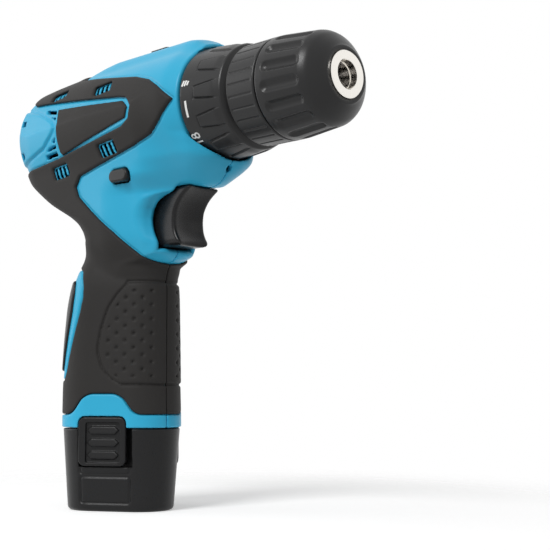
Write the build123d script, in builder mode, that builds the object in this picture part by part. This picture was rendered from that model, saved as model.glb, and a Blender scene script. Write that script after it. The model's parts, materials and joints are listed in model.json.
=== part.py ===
"""Cordless drill driver: a three-cell pack in the handle, a two-speed gearbox and a keyless chuck."""

import os
from math import cos, pi, radians, sin, sqrt, tan

from build123d import *

os.makedirs("parts", exist_ok=True)

# Frame: millimetres, origin on the floor under the pack's axis, +X along the chuck, +Z up.

# Fits and gaps
running_gap = 0.05
seat_gap = 0.1
slide_gap = 0.4
trim_gap = 0.3

# Drive line, heights and places along the axis
axis_height = 172.0
housing_rear = -58.0
housing_front = 62.2
motor_section_end = -22.0
gear_section_start = 0.0
rear_radius = 23.6
motor_section_radius = 25.8
gear_section_radius = 26.8
rim_radius = 24.4
mouth_radius = 20.6
cap_round = 9.0
shoulder_round = 7.0
shoulder_length = 8.0
ridge_radius = 29.6
ridge_start = 2.0
ridge_knee = -12.0
ridge_knee_radius = 28.4
ridge_half_width = 12.0
ridge_end = 54.0
shell_wall = 2.4
lip_length = 4.0
grip_thickness = 1.2
panel_thickness = 0.8

# Three-cell pack
cell_radius = 9.25
cell_length = 65.2
cell_spacing = 0.3
cell_gap = 0.25
tower_wall = 1.6
tower_top = 86.0
tower_roof = 2.0
tower_foot = 6.0
base_height = 35.5
base_floor = 2.5
base_wall = 2.0
base_foot_room = 3.3
base_top_room = 5.8
base_edge = 0.8
cell_foot = 1.5
deck_thickness = 2.2
board_thickness = 1.6
contact_width = 7.0
contact_thickness = 0.8
contact_top = 84.5
slot_width = 8.4
slot_depth = 3.7
slot_floor = 75.0
clip_reach = 11.5
clip_gap = 0.5
label_width = 22.0
label_height = 11.0
label_centre = 10.5

# Pack latches
latch_angle = 60.0
latch_width = 22.0
latch_shift = 2.4
latch_front_gap = 2.7
latch_bottom = 19.5
latch_top = 40.6
latch_thickness = 2.6
latch_face_width = 15.5
latch_face_height = 15.5
latch_face_depth = 0.8
ridge_width = 10.5
ridge_height = 2.2
ridge_pitch = 5.0
flange_thickness = 0.7
flange_inset = 0.25
flange_width = 14.0
flange_height = 7.5
flange_drop = 3.0
tongue_width = 12.0
tongue_thickness = 1.4
tongue_top = 47.0

# Handle and switch housing, outside the plastic shell
ring_height = 5.4
ring_gap = 0.5
ring_room = 6.4
hump_height = 10.5
hump_foot_width = 31.0
hump_top_width = 18.0
hump_thickness = 3.0
handle_top_drop = 71.0
handle_rooms = ((0.0, 4.9, 0.0), (0.28, 4.6, -0.4), (0.56, 4.0, 0.0), (0.8, 3.1, 0.8), (1.0, 2.0, 2.2))
# Switch housing sections: drop below the axis, back, front, half width
body_sections = (
    (72.0, -15.0, 19.0, 16.0),
    (61.0, -12.5, 31.0, 20.0),
    (51.0, -11.5, 30.0, 20.0),
    (43.0, -17.0, 31.0, 21.0),
    (34.0, -36.0, 40.0, 21.5),
    (22.0, -53.0, 52.0, 22.5),
    (7.0, -54.0, 58.0, 22.8),
)
body_corner = 12.0
# Chin that carries the lamp: side in x and drop, plan in x and half width, front in half width and drop
chin_side = ((30.0, 20.0), (64.0, 16.0), (69.8, 19.0), (69.8, 24.2), (60.8, 33.8), (30.0, 34.6))
chin_plan = ((29.0, 20.0), (46.0, 17.5), (62.0, 16.5), (67.5, 11.5), (70.5, 6.0))
chin_front = ((18.0, 14.0), (18.0, 22.0), (14.5, 27.4), (9.5, 35.0))

# Screws of the housing: place along X, drop below the axis
screw_places = ((-28.0, 32.5), (-7.0, 71.0), (17.0, 68.0), (47.0, 28.5), (-3.5, 31.0))
boss_radius = 3.4
screw_radius = 1.5
screw_head_radius = 2.9
screw_head_height = 2.0
screw_seat = 8.0
screw_length = 15.0

# Trigger, switch and buttons
trigger_width = 17.5
trigger_rear = 28.0
trigger_front = 41.0
trigger_brow = 52.0
trigger_lip = 46.5
trigger_top_drop = 33.6
trigger_bottom_drop = 58.5
trigger_travel = 7.0
trigger_edge = 1.8
stem_radius = 3.0
stem_reach = 15.0
switch_front = 20.0
switch_back = -7.0
switch_width = 19.0
switch_top_drop = 35.0
switch_bottom_drop = 60.0
button_x = 21.2
button_drop = 27.6
button_length = 12.6
button_height = 5.6
button_span = 47.0
knob_x = 28.0
knob_length = 12.0
knob_width = 13.0
knob_height = 1.3
knob_sink = 1.0
knob_travel = 6.0
led_x = 66.0
led_drop = 27.4
led_radius = 1.7
led_length = 8.0
led_hole_radius = 1.4

# Gearbox: three planet stages of one size
gear_module = 0.75
sun_teeth = 15
planet_teeth = 15
planet_count = 3
tooth_depth = 1.0
tooth_clear = 0.05
gear_width = 8.0
pinion_length = 6.8
planet_pin_radius = 1.6
carrier_radius = 15.2
carrier_thickness = 2.5
case_radius = 22.2
case_bore = 19.5
case_rear = 1.5
plate_thickness = 3.5
stage_starts = (3.0, 17.0, 31.0)
case_wall_x = 43.8
case_wall = 3.0
nose_radius = 11.5
nose_end = 83.8
nose_bore = 7.5
bearing_radius = 9.5
bearing_x = 72.0
bearing_width = 8.0
spindle_radius = 4.75
fork_radius = 22.6
fork_thickness = 1.0
fork_width = 2.0
fork_x = 25.0
fork_pin_radius = 0.8
groove_depth = 0.8

# Clutch
clutch_length = 22.0
clutch_rear_radius = 24.1
clutch_front_radius = 21.8
clutch_bore = 19.2
clutch_front_wall = 2.2
clutch_gap = 0.4
pad_count = 12
pad_height = 1.0
pad_length = 14.0
pad_rear_width = 4.5
pad_front_width = 7.5
ball_radius = 1.9
ball_ring = 15.0
ball_count = 6
washer_thickness = 1.5
washer_radius = 18.0
spring_wire = 2.0
spring_radius = 15.0
spring_turns = 5
spring_length = 17.2
nut_length = 4.8

# Keyless chuck
chuck_gap = 2.3
rear_ring_length = 15.6
rear_ring_radius = 20.9
rear_ring_bore = 17.5
web_thickness = 3.5
web_inset = 1.1
sleeve_gap = 0.4
sleeve_length = 29.5
sleeve_rear_radius = 21.0
sleeve_shoulder_radius = 18.3
sleeve_nose_radius = 10.4
sleeve_nose_length = 6.5
sleeve_bore = 17.0
sleeve_nose_bore_length = 5.5
flute_count = 16
flute_radius = 2.2
flute_depth = 1.1
nose_proud = 1.0
nose_ring_radius = 9.35
chuck_mouth_radius = 5.6
chuck_mouth_length = 3.8
chuck_bore_radius = 5.25
chuck_body_radius = 11.4
nut_groove_radius = 10.8
jaw_angle = 16.0
jaw_radius = 3.0
jaw_length = 26.0
jaw_travel = 14.0
jaw_tip_inset = 2.4
jaw_tip_radius = 1.9
jaw_face = 0.8
jaw_count = 3
arbor_length = 10.0
chuck_nut_length = 6.0
nut_setback = 29.1
chuck_screw_head = 4.2
chuck_screw_radius = 2.45
chuck_screw_head_height = 3.0

# Motor
can_radius = 18.4
can_wall = 2.0
can_rear = -46.0
end_cap_thickness = 4.0
shaft_radius = 1.6
shaft_rear = -52.5
armature_radius = 13.4
armature_length = 22.0
armature_x = -24.0
armature_slots = 7
magnet_radius = 14.2
commutator_radius = 4.5
commutator_length = 6.0
brush_height = 5.0
rib_width = 3.0
lead_radius = 1.0

# Sizes that follow from the ones above
cell_ring = (2 * cell_radius + cell_spacing) / sqrt(3)
tower_bore = cell_radius + cell_gap
tower_radius = tower_bore + tower_wall
cavity_radius = tower_radius + slide_gap
flat_offset = cell_ring / 2
base_foot_radius = tower_radius + base_foot_room
base_top_radius = tower_radius + base_top_room
ring_bottom = base_height + ring_gap
ring_top = ring_bottom + ring_height
ring_radius = tower_radius + ring_room
handle_top = axis_height - handle_top_drop
cells_bottom = base_floor + cell_foot
cells_top = cells_bottom + cell_length
board_top = cells_top + board_thickness
latch_face = flat_offset + base_top_radius + seat_gap
window_width = latch_width + latch_front_gap + slide_gap
window_shift = latch_shift + (slide_gap - latch_front_gap) / 2
block_bottom = tower_top + 2.5
block_top = block_bottom + 5.6
sun_radius = gear_module * sun_teeth / 2
planet_radius = gear_module * planet_teeth / 2
planet_ring = sun_radius + planet_radius
ring_gear_radius = planet_ring + planet_radius
clutch_rear = housing_front + clutch_gap
clutch_front = clutch_rear + clutch_length
chuck_rear = clutch_front + chuck_gap
rear_ring_front = chuck_rear + rear_ring_length
sleeve_rear = rear_ring_front + sleeve_gap
sleeve_front = sleeve_rear + sleeve_length
nose_front = sleeve_front + nose_proud
axis_line = Axis((0, 0, axis_height), (1, 0, 0))
can_front = case_rear - plate_thickness
knob_floor = ridge_radius - knob_sink + trim_gap
ball_x = case_wall_x + case_wall - ball_radius + 0.4
washer_x = ball_x + ball_radius + seat_gap
spring_x = washer_x + washer_thickness + seat_gap
nut_x = spring_x + spring_length + seat_gap


def save(part, name):
    """Label a finished piece and write it to its own file."""
    part.label = name
    export_step(part, f"parts/{name}.step")


def cross_plane(x):
    """Plane across the drive line at x: local x along +Y, local y along +Z."""
    return Plane(origin=(x, 0, axis_height), x_dir=(0, 1, 0), z_dir=(1, 0, 0))


def face_plane(angle, distance):
    """Upright plane facing outwards at an angle round the pack: local x level, local y the height."""
    normal = Vector(cos(radians(angle)), sin(radians(angle)), 0)
    return Plane(origin=normal * distance, x_dir=(-normal.Y, normal.X, 0), z_dir=normal)


def rearwards(angle, amount):
    """Level place on a face plane, an amount towards the drill's back."""
    return amount if angle > 0 else -amount


def rounded_triangle(radius, centre_x=0.0):
    """Draw the outline round three cells, its apex towards the front, in the current sketch."""
    with Locations((centre_x, 0)):
        with PolarLocations(cell_ring, 3):
            Circle(radius)
    make_hull()


def tube(x, length, outer, inner):
    """Add a round tube on the drive line to the current part."""
    with BuildSketch(cross_plane(x)) as section:
        Circle(outer)
        Circle(inner, mode=Mode.SUBTRACT)
    extrude(section.sketch, amount=length)


def gear_outline(teeth, tip_radius, outwards=True):
    """Draw a toothed wheel in the current sketch: teeth out from its rim, or in from a ring's bore."""
    root = tip_radius - tooth_depth if outwards else tip_radius + tooth_depth
    pitch = 2 * pi * tip_radius / teeth
    tip_half = 0.18 * pitch
    root_half = 0.34 * pitch
    overlap = 0.2 if outwards else -0.2
    with PolarLocations(0, teeth):
        Polygon(
            (root - overlap, -root_half),
            (tip_radius, -tip_half),
            (tip_radius, tip_half),
            (root - overlap, root_half),
            align=None,
        )
    return root


# Pack base: a cup with windows for the latches and a bare recessed plate below each

with BuildPart() as battery_base:
    for height, radius in ((0, base_foot_radius), (base_height, base_top_radius)):
        with BuildSketch(Plane.XY.offset(height)):
            rounded_triangle(radius)
    loft()
    fillet(battery_base.faces().sort_by(Axis.Z)[0].edges(), radius=base_edge)
    for height, radius in (
        (base_floor, base_foot_radius - base_wall),
        (base_height, base_top_radius - base_wall),
    ):
        with BuildSketch(Plane.XY.offset(height)):
            rounded_triangle(radius)
    loft(mode=Mode.SUBTRACT)
    for angle in (-latch_angle, latch_angle):
        with BuildSketch(face_plane(angle, flat_offset + tower_radius)):
            with Locations((rearwards(angle, window_shift), (latch_bottom + latch_top) / 2 - slide_gap)):
                Rectangle(window_width, latch_top - latch_bottom)
        extrude(amount=latch_face, mode=Mode.SUBTRACT)
        with BuildSketch(face_plane(angle, flat_offset + base_foot_radius + 0.3)):
            with Locations((rearwards(angle, latch_shift), label_centre)):
                RectangleRounded(label_width, label_height, 1.0)
        extrude(amount=base_wall, mode=Mode.SUBTRACT)
save(battery_base.part, "battery_base")

# Pack tower: the closed tube round the cells, with the deck that shuts the base

with BuildPart() as battery_tower:
    with BuildSketch(Plane.XY.offset(tower_foot)):
        rounded_triangle(tower_radius)
    extrude(amount=tower_top - tower_foot)
    deck_radius = base_top_radius - base_wall - seat_gap - 0.2
    with BuildSketch(Plane.XY.offset(base_height - deck_thickness)):
        rounded_triangle(deck_radius)
    extrude(amount=deck_thickness)
    with BuildSketch(Plane.XY.offset(tower_foot)):
        rounded_triangle(tower_bore)
    extrude(amount=tower_top - tower_roof - tower_foot, mode=Mode.SUBTRACT)
    for angle in (-latch_angle, latch_angle):
        with BuildSketch(face_plane(angle, flat_offset + tower_radius)):
            with Locations((rearwards(angle, window_shift), base_height)):
                Rectangle(window_width + 2 * slide_gap, 2 * flange_height)
        extrude(amount=latch_face, mode=Mode.SUBTRACT)
    for angle, reach in ((0, cell_ring), (-latch_angle, flat_offset), (latch_angle, flat_offset)):
        with BuildSketch(face_plane(angle, reach + tower_radius - slot_depth)):
            with Locations((0, (slot_floor + tower_top) / 2 + 1)):
                Rectangle(slot_width, tower_top - slot_floor + 2)
        extrude(amount=slot_depth + 1, mode=Mode.SUBTRACT)
save(battery_tower.part, "battery_tower")

with BuildPart() as battery_cells:
    with BuildSketch(Plane.XY.offset(cells_bottom)):
        with PolarLocations(cell_ring, 3):
            Circle(cell_radius)
    extrude(amount=cell_length)
save(battery_cells.part, "battery_cells")

with BuildPart() as battery_board:
    with BuildSketch(Plane.XY.offset(cells_top)):
        rounded_triangle(tower_bore - 0.2)
    extrude(amount=board_thickness)
save(battery_board.part, "battery_board")

with BuildPart() as battery_contacts:
    for angle, reach in ((0, cell_ring), (-latch_angle, flat_offset), (latch_angle, flat_offset)):
        with BuildSketch(face_plane(angle, reach + tower_radius - slot_depth + 0.1)):
            with Locations((0, (board_top + contact_top) / 2)):
                Rectangle(contact_width, contact_top - board_top)
        extrude(amount=contact_thickness)
save(battery_contacts.part, "battery_contacts")

# Latches: a framed press plate with three grip bars, a flange behind the wall and a tongue upwards

for name, angle in (("latch_right", -latch_angle), ("latch_left", latch_angle)):
    plate_centre = (latch_bottom + latch_top) / 2
    latch_x = rearwards(angle, latch_shift)
    flange_face = flat_offset + base_foot_radius - base_wall + flange_inset
    with BuildPart() as latch:
        with BuildSketch(face_plane(angle, latch_face - latch_thickness)):
            with Locations((latch_x, plate_centre)):
                RectangleRounded(latch_width, latch_top - latch_bottom, 2.0)
        extrude(amount=latch_thickness)
        with BuildSketch(face_plane(angle, latch_face - latch_face_depth)):
            with Locations((latch_x, plate_centre - 0.6)):
                RectangleRounded(latch_face_width, latch_face_height, 1.2)
        extrude(amount=latch_face_depth, mode=Mode.SUBTRACT)
        with BuildSketch(face_plane(angle, latch_face - latch_face_depth)):
            with Locations((latch_x, plate_centre - 0.6)):
                with GridLocations(0, ridge_pitch, 1, 3):
                    SlotOverall(ridge_width, ridge_height)
        extrude(amount=latch_face_depth)
        with BuildSketch(face_plane(angle, flange_face)):
            with Locations((latch_x, latch_bottom + flange_height / 2 - flange_drop)):
                Rectangle(flange_width, flange_height)
        extrude(amount=flange_thickness)
        with BuildSketch(face_plane(angle, flange_face)):
            with Locations((latch_x, plate_centre)):
                Rectangle(tongue_width, latch_top - latch_bottom - 4)
        extrude(amount=latch_face - latch_thickness - flange_face)
        with BuildSketch(face_plane(angle, latch_face - latch_thickness - tongue_thickness)):
            with Locations((latch_x, (plate_centre + tongue_top) / 2)):
                Rectangle(tongue_width, tongue_top - plate_centre)
        extrude(amount=tongue_thickness)
    save(latch.part, name)

# Outside of the housing, grown by a skin thickness for the soft grips


def outer_form(grow):
    """Barrel, top ridge, switch housing and handle in one solid."""
    with BuildPart() as form:
        with BuildSketch(Plane.XZ) as barrel_profile:
            Polygon(
                (housing_rear - grow, axis_height),
                (housing_rear - grow, axis_height + rear_radius + grow),
                (motor_section_end, axis_height + motor_section_radius + grow),
                (gear_section_start, axis_height + gear_section_radius + grow),
                (housing_front - shoulder_length, axis_height + gear_section_radius + grow),
                (housing_front, axis_height + rim_radius + grow),
                (housing_front, axis_height),
                align=None,
            )
            by_place = barrel_profile.vertices().sort_by(Axis.X)
            fillet(by_place[0:2].sort_by(Axis.Y)[-1], radius=cap_round)
            shoulder = barrel_profile.vertices().filter_by_position(
                Axis.X, housing_front - shoulder_length - 0.1, housing_front - shoulder_length + 0.1
            )
            fillet(shoulder, radius=shoulder_round)
        revolve(axis=axis_line)
        for drop, back, front, half_width in body_sections:
            with BuildSketch(Plane.XY.offset(axis_height - drop)):
                with Locations(((back + front) / 2, 0)):
                    RectangleRounded(front - back + 2 * grow, 2 * (half_width + grow), body_corner)
        loft(ruled=True)
        for share, room, shift in handle_rooms:
            with BuildSketch(Plane.XY.offset(ring_bottom + share * (handle_top - ring_bottom))):
                rounded_triangle(cavity_radius + room + grow, shift)
        loft()
    return form.part


def ridge_form():
    """Raised back of the gear section that carries the speed knob."""
    with BuildPart() as ridge:
        with BuildSketch(Plane.XZ):
            Polygon(
                (motor_section_end, axis_height + motor_section_radius - shell_wall),
                (motor_section_end, axis_height + motor_section_radius),
                (ridge_knee, axis_height + ridge_knee_radius),
                (ridge_start, axis_height + ridge_radius),
                (ridge_end - shoulder_length, axis_height + ridge_radius),
                (ridge_end, axis_height + gear_section_radius),
                (ridge_end, axis_height + gear_section_radius - shell_wall),
                (gear_section_start, axis_height + gear_section_radius - shell_wall),
                align=None,
            )
        revolve(axis=axis_line)
        with BuildSketch(Plane.XY.offset(axis_height)):
            with Locations(((motor_section_end + ridge_end) / 2, 0)):
                Rectangle(ridge_end - motor_section_end + 2, 2 * ridge_half_width)
        extrude(amount=2 * ridge_radius, mode=Mode.INTERSECT)
    return ridge.part


def chin_form():
    """Chin below the gear section, in front of the trigger."""
    reach = chin_front[0][0]
    with BuildPart() as chin:
        with BuildSketch(Plane.XZ.offset(-reach)):
            Polygon(*[(x, axis_height - drop) for x, drop in chin_side], align=None)
        extrude(amount=2 * reach)
        with BuildSketch(Plane.XY.offset(axis_height - chin_front[-1][1])):
            Polygon(*chin_plan, *[(x, -width) for x, width in reversed(chin_plan)], align=None)
        extrude(amount=chin_front[-1][1], mode=Mode.INTERSECT)
        with BuildSketch(cross_plane(chin_plan[0][0])):
            right = [(-width, -drop) for width, drop in chin_front]
            left = [(width, -drop) for width, drop in reversed(chin_front)]
            Polygon(*right, *left, align=None)
        extrude(amount=chin_plan[-1][0] - chin_plan[0][0], mode=Mode.INTERSECT)
    return chin.part


def ring_form():
    """Rim at the handle's foot with a hump over each latch."""
    with BuildPart() as humps:
        for angle in (-latch_angle, latch_angle):
            with BuildSketch(face_plane(angle, flat_offset + ring_radius - hump_thickness)):
                with Locations((rearwards(angle, latch_shift), 0)):
                    Polygon(
                        (-hump_foot_width / 2, ring_top - 1),
                        (hump_foot_width / 2, ring_top - 1),
                        (hump_foot_width / 2, ring_top),
                        (hump_top_width / 2, ring_top + hump_height),
                        (-hump_top_width / 2, ring_top + hump_height),
                        (-hump_foot_width / 2, ring_top),
                        align=None,
                    )
            extrude(amount=hump_thickness + 1)
        with BuildSketch(Plane.XY.offset(ring_top - 1)):
            rounded_triangle(ring_radius)
        extrude(amount=hump_height + 1, mode=Mode.INTERSECT)
    with BuildPart() as ring:
        with BuildSketch(Plane.XY.offset(ring_bottom)):
            rounded_triangle(ring_radius)
        extrude(amount=ring_height)
        add(humps.part)
    return ring.part


def inner_form():
    """Room inside the shell: drive line, switch chamber, pack cavity and the passage between them."""
    with BuildPart() as room:
        with BuildSketch(Plane.XZ) as bore_profile:
            Polygon(
                (housing_rear + shell_wall, axis_height),
                (housing_rear + shell_wall, axis_height + rear_radius - shell_wall),
                (motor_section_end, axis_height + motor_section_radius - shell_wall),
                (gear_section_start, axis_height + gear_section_radius - shell_wall),
                (housing_front - shoulder_length, axis_height + gear_section_radius - shell_wall),
                (housing_front - lip_length, axis_height + mouth_radius),
                (housing_front + 1, axis_height + mouth_radius),
                (housing_front + 1, axis_height),
                align=None,
            )
            corner = bore_profile.vertices().sort_by(Axis.X)[0:2].sort_by(Axis.Y)[-1]
            fillet(corner, radius=cap_round - shell_wall)
        revolve(axis=axis_line)
        for drop, back, front, half_width in body_sections:
            inner_back = back + shell_wall
            inner_front = min(front, housing_front - shell_wall) - shell_wall
            with BuildSketch(Plane.XY.offset(axis_height - drop + shell_wall)):
                with Locations(((inner_back + inner_front) / 2, 0)):
                    RectangleRounded(
                        inner_front - inner_back,
                        2 * (half_width - shell_wall),
                        body_corner - shell_wall,
                    )
        loft(ruled=True)
        with BuildSketch(Plane.XY.offset(ring_bottom - 1)):
            rounded_triangle(cavity_radius)
        extrude(amount=block_top - ring_bottom + 1)
        with BuildSketch(Plane.XY.offset(block_top)):
            rounded_triangle(cavity_radius - shell_wall)
        extrude(amount=handle_top + 2 * shell_wall - block_top)
    return room.part


housing_outside = outer_form(0)
housing_ridge = ridge_form()
housing_ring = ring_form()
housing_chin = chin_form()

# Cradle rings round the motor and the gear case, switch ribs and screw bosses

with BuildPart() as cradles:
    for x in (can_rear + 4, can_front - 8):
        tube(x, rib_width, gear_section_radius, can_radius + seat_gap)
    for x in (case_rear + 4, case_wall_x - 8):
        tube(x, rib_width, gear_section_radius, case_radius + seat_gap)
    switch_middle = axis_height - (switch_top_drop + switch_bottom_drop) / 2
    for x in (switch_back + 6, switch_front - 7):
        for side in (-1, 1):
            with BuildSketch(Plane.XZ.offset(-side * (switch_width / 2 + seat_gap))):
                with Locations((x, switch_middle)):
                    Rectangle(rib_width, 16)
            extrude(amount=-side * 12)
    for x, drop in screw_places:
        with BuildSketch(Plane.XZ.offset(-30)):
            with Locations((x, axis_height - drop)):
                Circle(boss_radius)
        extrude(amount=60)
    add(housing_outside, mode=Mode.INTERSECT)

vent_places = ((-21.0, 15.0), (13.0, 12.0), (16.0, -15.7), (-18.6, -20.7))
vent_length = 12.0
vent_height = 5.0
vent_slot = 2.0
vent_pitch = 3.4
vent_depth = 12.0

with BuildPart() as shell:
    add(housing_outside)
    add(housing_ridge)
    add(housing_ring)
    add(housing_chin)
    add(inner_form(), mode=Mode.SUBTRACT)
    add(cradles.part)
    # Clutch ring's room, trigger opening, button holes, knob slot, lamp hole and louvres
    with BuildSketch(cross_plane(housing_front)):
        Circle(clutch_rear_radius + slide_gap)
    extrude(amount=clutch_length, mode=Mode.SUBTRACT)
    with BuildSketch(Plane.XZ.offset(-trigger_width / 2 - slide_gap)):
        with Locations((switch_front, axis_height - trigger_bottom_drop - slide_gap)):
            Rectangle(
                trigger_brow + 2 * slide_gap - switch_front,
                trigger_bottom_drop - trigger_top_drop + 2 * slide_gap,
                align=(Align.MIN, Align.MIN),
            )
    extrude(amount=trigger_width + 2 * slide_gap, mode=Mode.SUBTRACT)
    with BuildSketch(Plane.XZ.offset(-button_span)):
        with Locations((button_x, axis_height - button_drop)):
            SlotOverall(button_length + 2 * trim_gap, button_height + 2 * trim_gap)
    extrude(amount=2 * button_span, mode=Mode.SUBTRACT)
    with BuildSketch(Plane.XY.offset(axis_height + ridge_radius - knob_sink)):
        with Locations((knob_x - knob_travel / 2, 0)):
            Rectangle(knob_length + knob_travel + 2 * slide_gap, knob_width + 2 * slide_gap)
    extrude(amount=2 * knob_sink, mode=Mode.SUBTRACT)
    with BuildSketch(Plane.XY.offset(axis_height + case_radius)):
        with Locations((fork_x + fork_width / 2 - knob_travel / 2, 0)):
            Rectangle(fork_width + knob_travel + 2 * slide_gap, 2 * fork_width + 4 + 2 * slide_gap)
    extrude(amount=ridge_radius, mode=Mode.SUBTRACT)
    with BuildSketch(cross_plane(led_x - led_length - 8)):
        with Locations((0, -led_drop)):
            Circle(led_hole_radius)
    extrude(amount=led_length + 20, mode=Mode.SUBTRACT)
    with BuildSketch(cross_plane(led_x - led_length - 8)):
        with Locations((0, -led_drop)):
            Circle(led_radius + seat_gap)
    extrude(amount=led_length + 5, mode=Mode.SUBTRACT)
    for x, rise in vent_places:
        for side in (-1, 1):
            with BuildSketch(Plane.XZ.offset(-side * (gear_section_radius - vent_depth))):
                with Locations((x, axis_height + rise)):
                    with GridLocations(vent_pitch, 0, 3, 1):
                        Rectangle(vent_slot, vent_height)
            extrude(amount=-side * vent_depth, mode=Mode.SUBTRACT)
    # Latch notches through the rim and pockets for the tongues
    for angle in (-latch_angle, latch_angle):
        with BuildSketch(face_plane(angle, flat_offset + tower_radius)):
            with Locations((rearwards(angle, latch_shift), (ring_bottom + latch_top + slide_gap) / 2 - 1)):
                Rectangle(latch_width + 4 * slide_gap, latch_top + slide_gap - ring_bottom + 2)
        extrude(amount=latch_face, mode=Mode.SUBTRACT)
        with BuildSketch(face_plane(angle, flat_offset + tower_radius)):
            with Locations((rearwards(angle, latch_shift), (ring_bottom + tongue_top + 1) / 2)):
                Rectangle(tongue_width + 2 * slide_gap, tongue_top + 1 - ring_bottom)
        extrude(
            amount=latch_face - latch_thickness - flat_offset - tower_radius + slide_gap,
            mode=Mode.SUBTRACT,
        )

for name, side in (("housing_right", -1), ("housing_left", 1)):
    with BuildPart() as half:
        add(shell.part)
        split(bisect_by=Plane.XZ, keep=Keep.TOP if side < 0 else Keep.BOTTOM)
        for x, drop in screw_places:
            with BuildSketch(Plane.XZ.offset(screw_length)):
                with Locations((x, axis_height - drop)):
                    Circle(screw_radius)
            extrude(amount=-2 * screw_length, mode=Mode.SUBTRACT)
            if side > 0:
                with BuildSketch(Plane.XZ.offset(-screw_seat)):
                    with Locations((x, axis_height - drop)):
                        Circle(screw_head_radius + trim_gap)
                extrude(amount=-30, mode=Mode.SUBTRACT)
    save(half.part, name)

with BuildPart() as housing_screws:
    for x, drop in screw_places:
        with BuildSketch(Plane.XZ.offset(-screw_seat)):
            with Locations((x, axis_height - drop)):
                Circle(screw_head_radius)
        extrude(amount=-screw_head_height)
        with BuildSketch(Plane.XZ.offset(-screw_seat)):
            with Locations((x, axis_height - drop)):
                Circle(screw_radius)
        extrude(amount=screw_length)
        with BuildSketch(Plane.XZ.offset(-screw_seat - screw_head_height)):
            with Locations((x, axis_height - drop)):
                Rectangle(3.2, 0.7)
                Rectangle(0.7, 3.2)
        extrude(amount=1.0, mode=Mode.SUBTRACT)
save(housing_screws.part, "housing_screws")

# Soft grips: the arrow along the barrel and the sleeve of the handle, one for each half

grip_outline = (
    (-51.0, 18.0),
    (-48.0, 22.5),
    (-20.0, 23.5),
    (4.0, 19.0),
    (35.0, 13.0),
    (46.0, 9.5),
    (52.5, 5.0),
    (59.0, -1.0),
    (52.0, -8.0),
    (44.5, -13.4),
    (19.2, -19.2),
    (-7.3, -24.3),
    (-10.7, -29.2),
    (-8.3, -33.7),
    (1.5, -41.8),
    (13.5, -51.1),
    (22.9, -58.6),
    (30.0, -64.6),
    (46.0, -68.0),
)
grip_rear = (
    (-40.0, -72.0),
    (-60.0, -26.0),
    (-51.0, -18.0),
    (-11.3, -15.2),
    (31.5, -6.0),
    (34.4, 0.3),
    (30.2, 5.0),
    (-20.0, 11.0),
    (-44.5, 11.8),
)
stripe_outline = (
    (-40.0, 65.0),
    (-8.5, 66.0),
    (-4.2, 67.8),
    (-1.6, 74.2),
    (-1.1, 79.1),
    (-2.5, 86.6),
    (-4.9, 94.6),
    (-7.6, 103.6),
    (-10.4, 112.3),
    (-12.8, 115.4),
    (-40.0, 116.4),
)
back_panel_outline = (
    (-40.0, 70.6),
    (-9.6, 71.2),
    (-7.9, 72.7),
    (-6.8, 77.3),
    (-7.3, 85.5),
    (-9.1, 92.9),
    (-11.0, 100.8),
    (-13.8, 109.2),
    (-15.6, 111.4),
    (-40.0, 112.2),
)
side_panel_outline = ((-20.0, 8.0), (27.0, 4.0), (30.5, 0.4), (28.7, -4.0), (-16.0, -13.0), (-22.0, -2.0))

with BuildPart() as grip_skin:
    add(outer_form(grip_thickness))
    add(housing_outside, mode=Mode.SUBTRACT)
    with BuildSketch(Plane.XZ.offset(-40)):
        Polygon(
            *[(x, axis_height + rise) for x, rise in grip_outline],
            (46.0, ring_top + trim_gap),
            (-40.0, ring_top + trim_gap),
            *[(x, axis_height + rise) for x, rise in grip_rear],
            align=None,
        )
    extrude(amount=80, mode=Mode.INTERSECT)
    add(housing_ring, mode=Mode.SUBTRACT)
    add(housing_ridge, mode=Mode.SUBTRACT)
    add(housing_chin, mode=Mode.SUBTRACT)
    with BuildSketch(Plane.XZ.offset(-40)):
        Polygon(*[(x, axis_height - drop) for x, drop in stripe_outline], align=None)
        for x, rise in vent_places:
            with Locations((x, axis_height + rise)):
                RectangleRounded(vent_length, vent_height + 1, 1.0)
        with Locations((button_x, axis_height - button_drop)):
            SlotOverall(button_length + 2, button_height + 2)
    extrude(amount=80, mode=Mode.SUBTRACT)
    for angle in (-latch_angle, latch_angle):
        with BuildSketch(face_plane(angle, flat_offset + cavity_radius)):
            with Locations((rearwards(angle, latch_shift), 0)):
                Polygon(
                    (-hump_foot_width / 2 - 1, ring_bottom),
                    (hump_foot_width / 2 + 1, ring_bottom),
                    (hump_foot_width / 2 + 1, ring_top),
                    (hump_top_width / 2 + 1, ring_top + hump_height + 0.5),
                    (-hump_top_width / 2 - 1, ring_top + hump_height + 0.5),
                    (-hump_foot_width / 2 - 1, ring_top),
                    align=None,
                )
        extrude(amount=latch_face, mode=Mode.SUBTRACT)

for name, side in (("grip_right", -1), ("grip_left", 1)):
    with BuildPart() as grip:
        add(grip_skin.part)
        split(bisect_by=Plane.XZ, keep=Keep.TOP if side < 0 else Keep.BOTTOM)
        if side > 0:
            for x, drop in screw_places:
                with BuildSketch(Plane.XZ):
                    with Locations((x, axis_height - drop)):
                        Circle(screw_head_radius + 2 * trim_gap)
                extrude(amount=-40, mode=Mode.SUBTRACT)
    save(grip.part, name)

with BuildPart() as handle_back_panel:
    add(outer_form(grip_thickness))
    add(housing_outside, mode=Mode.SUBTRACT)
    with BuildSketch(Plane.XZ.offset(-40)):
        Polygon(*[(x, axis_height - drop) for x, drop in back_panel_outline], align=None)
    extrude(amount=80, mode=Mode.INTERSECT)
save(handle_back_panel.part, "handle_back_panel")

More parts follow.
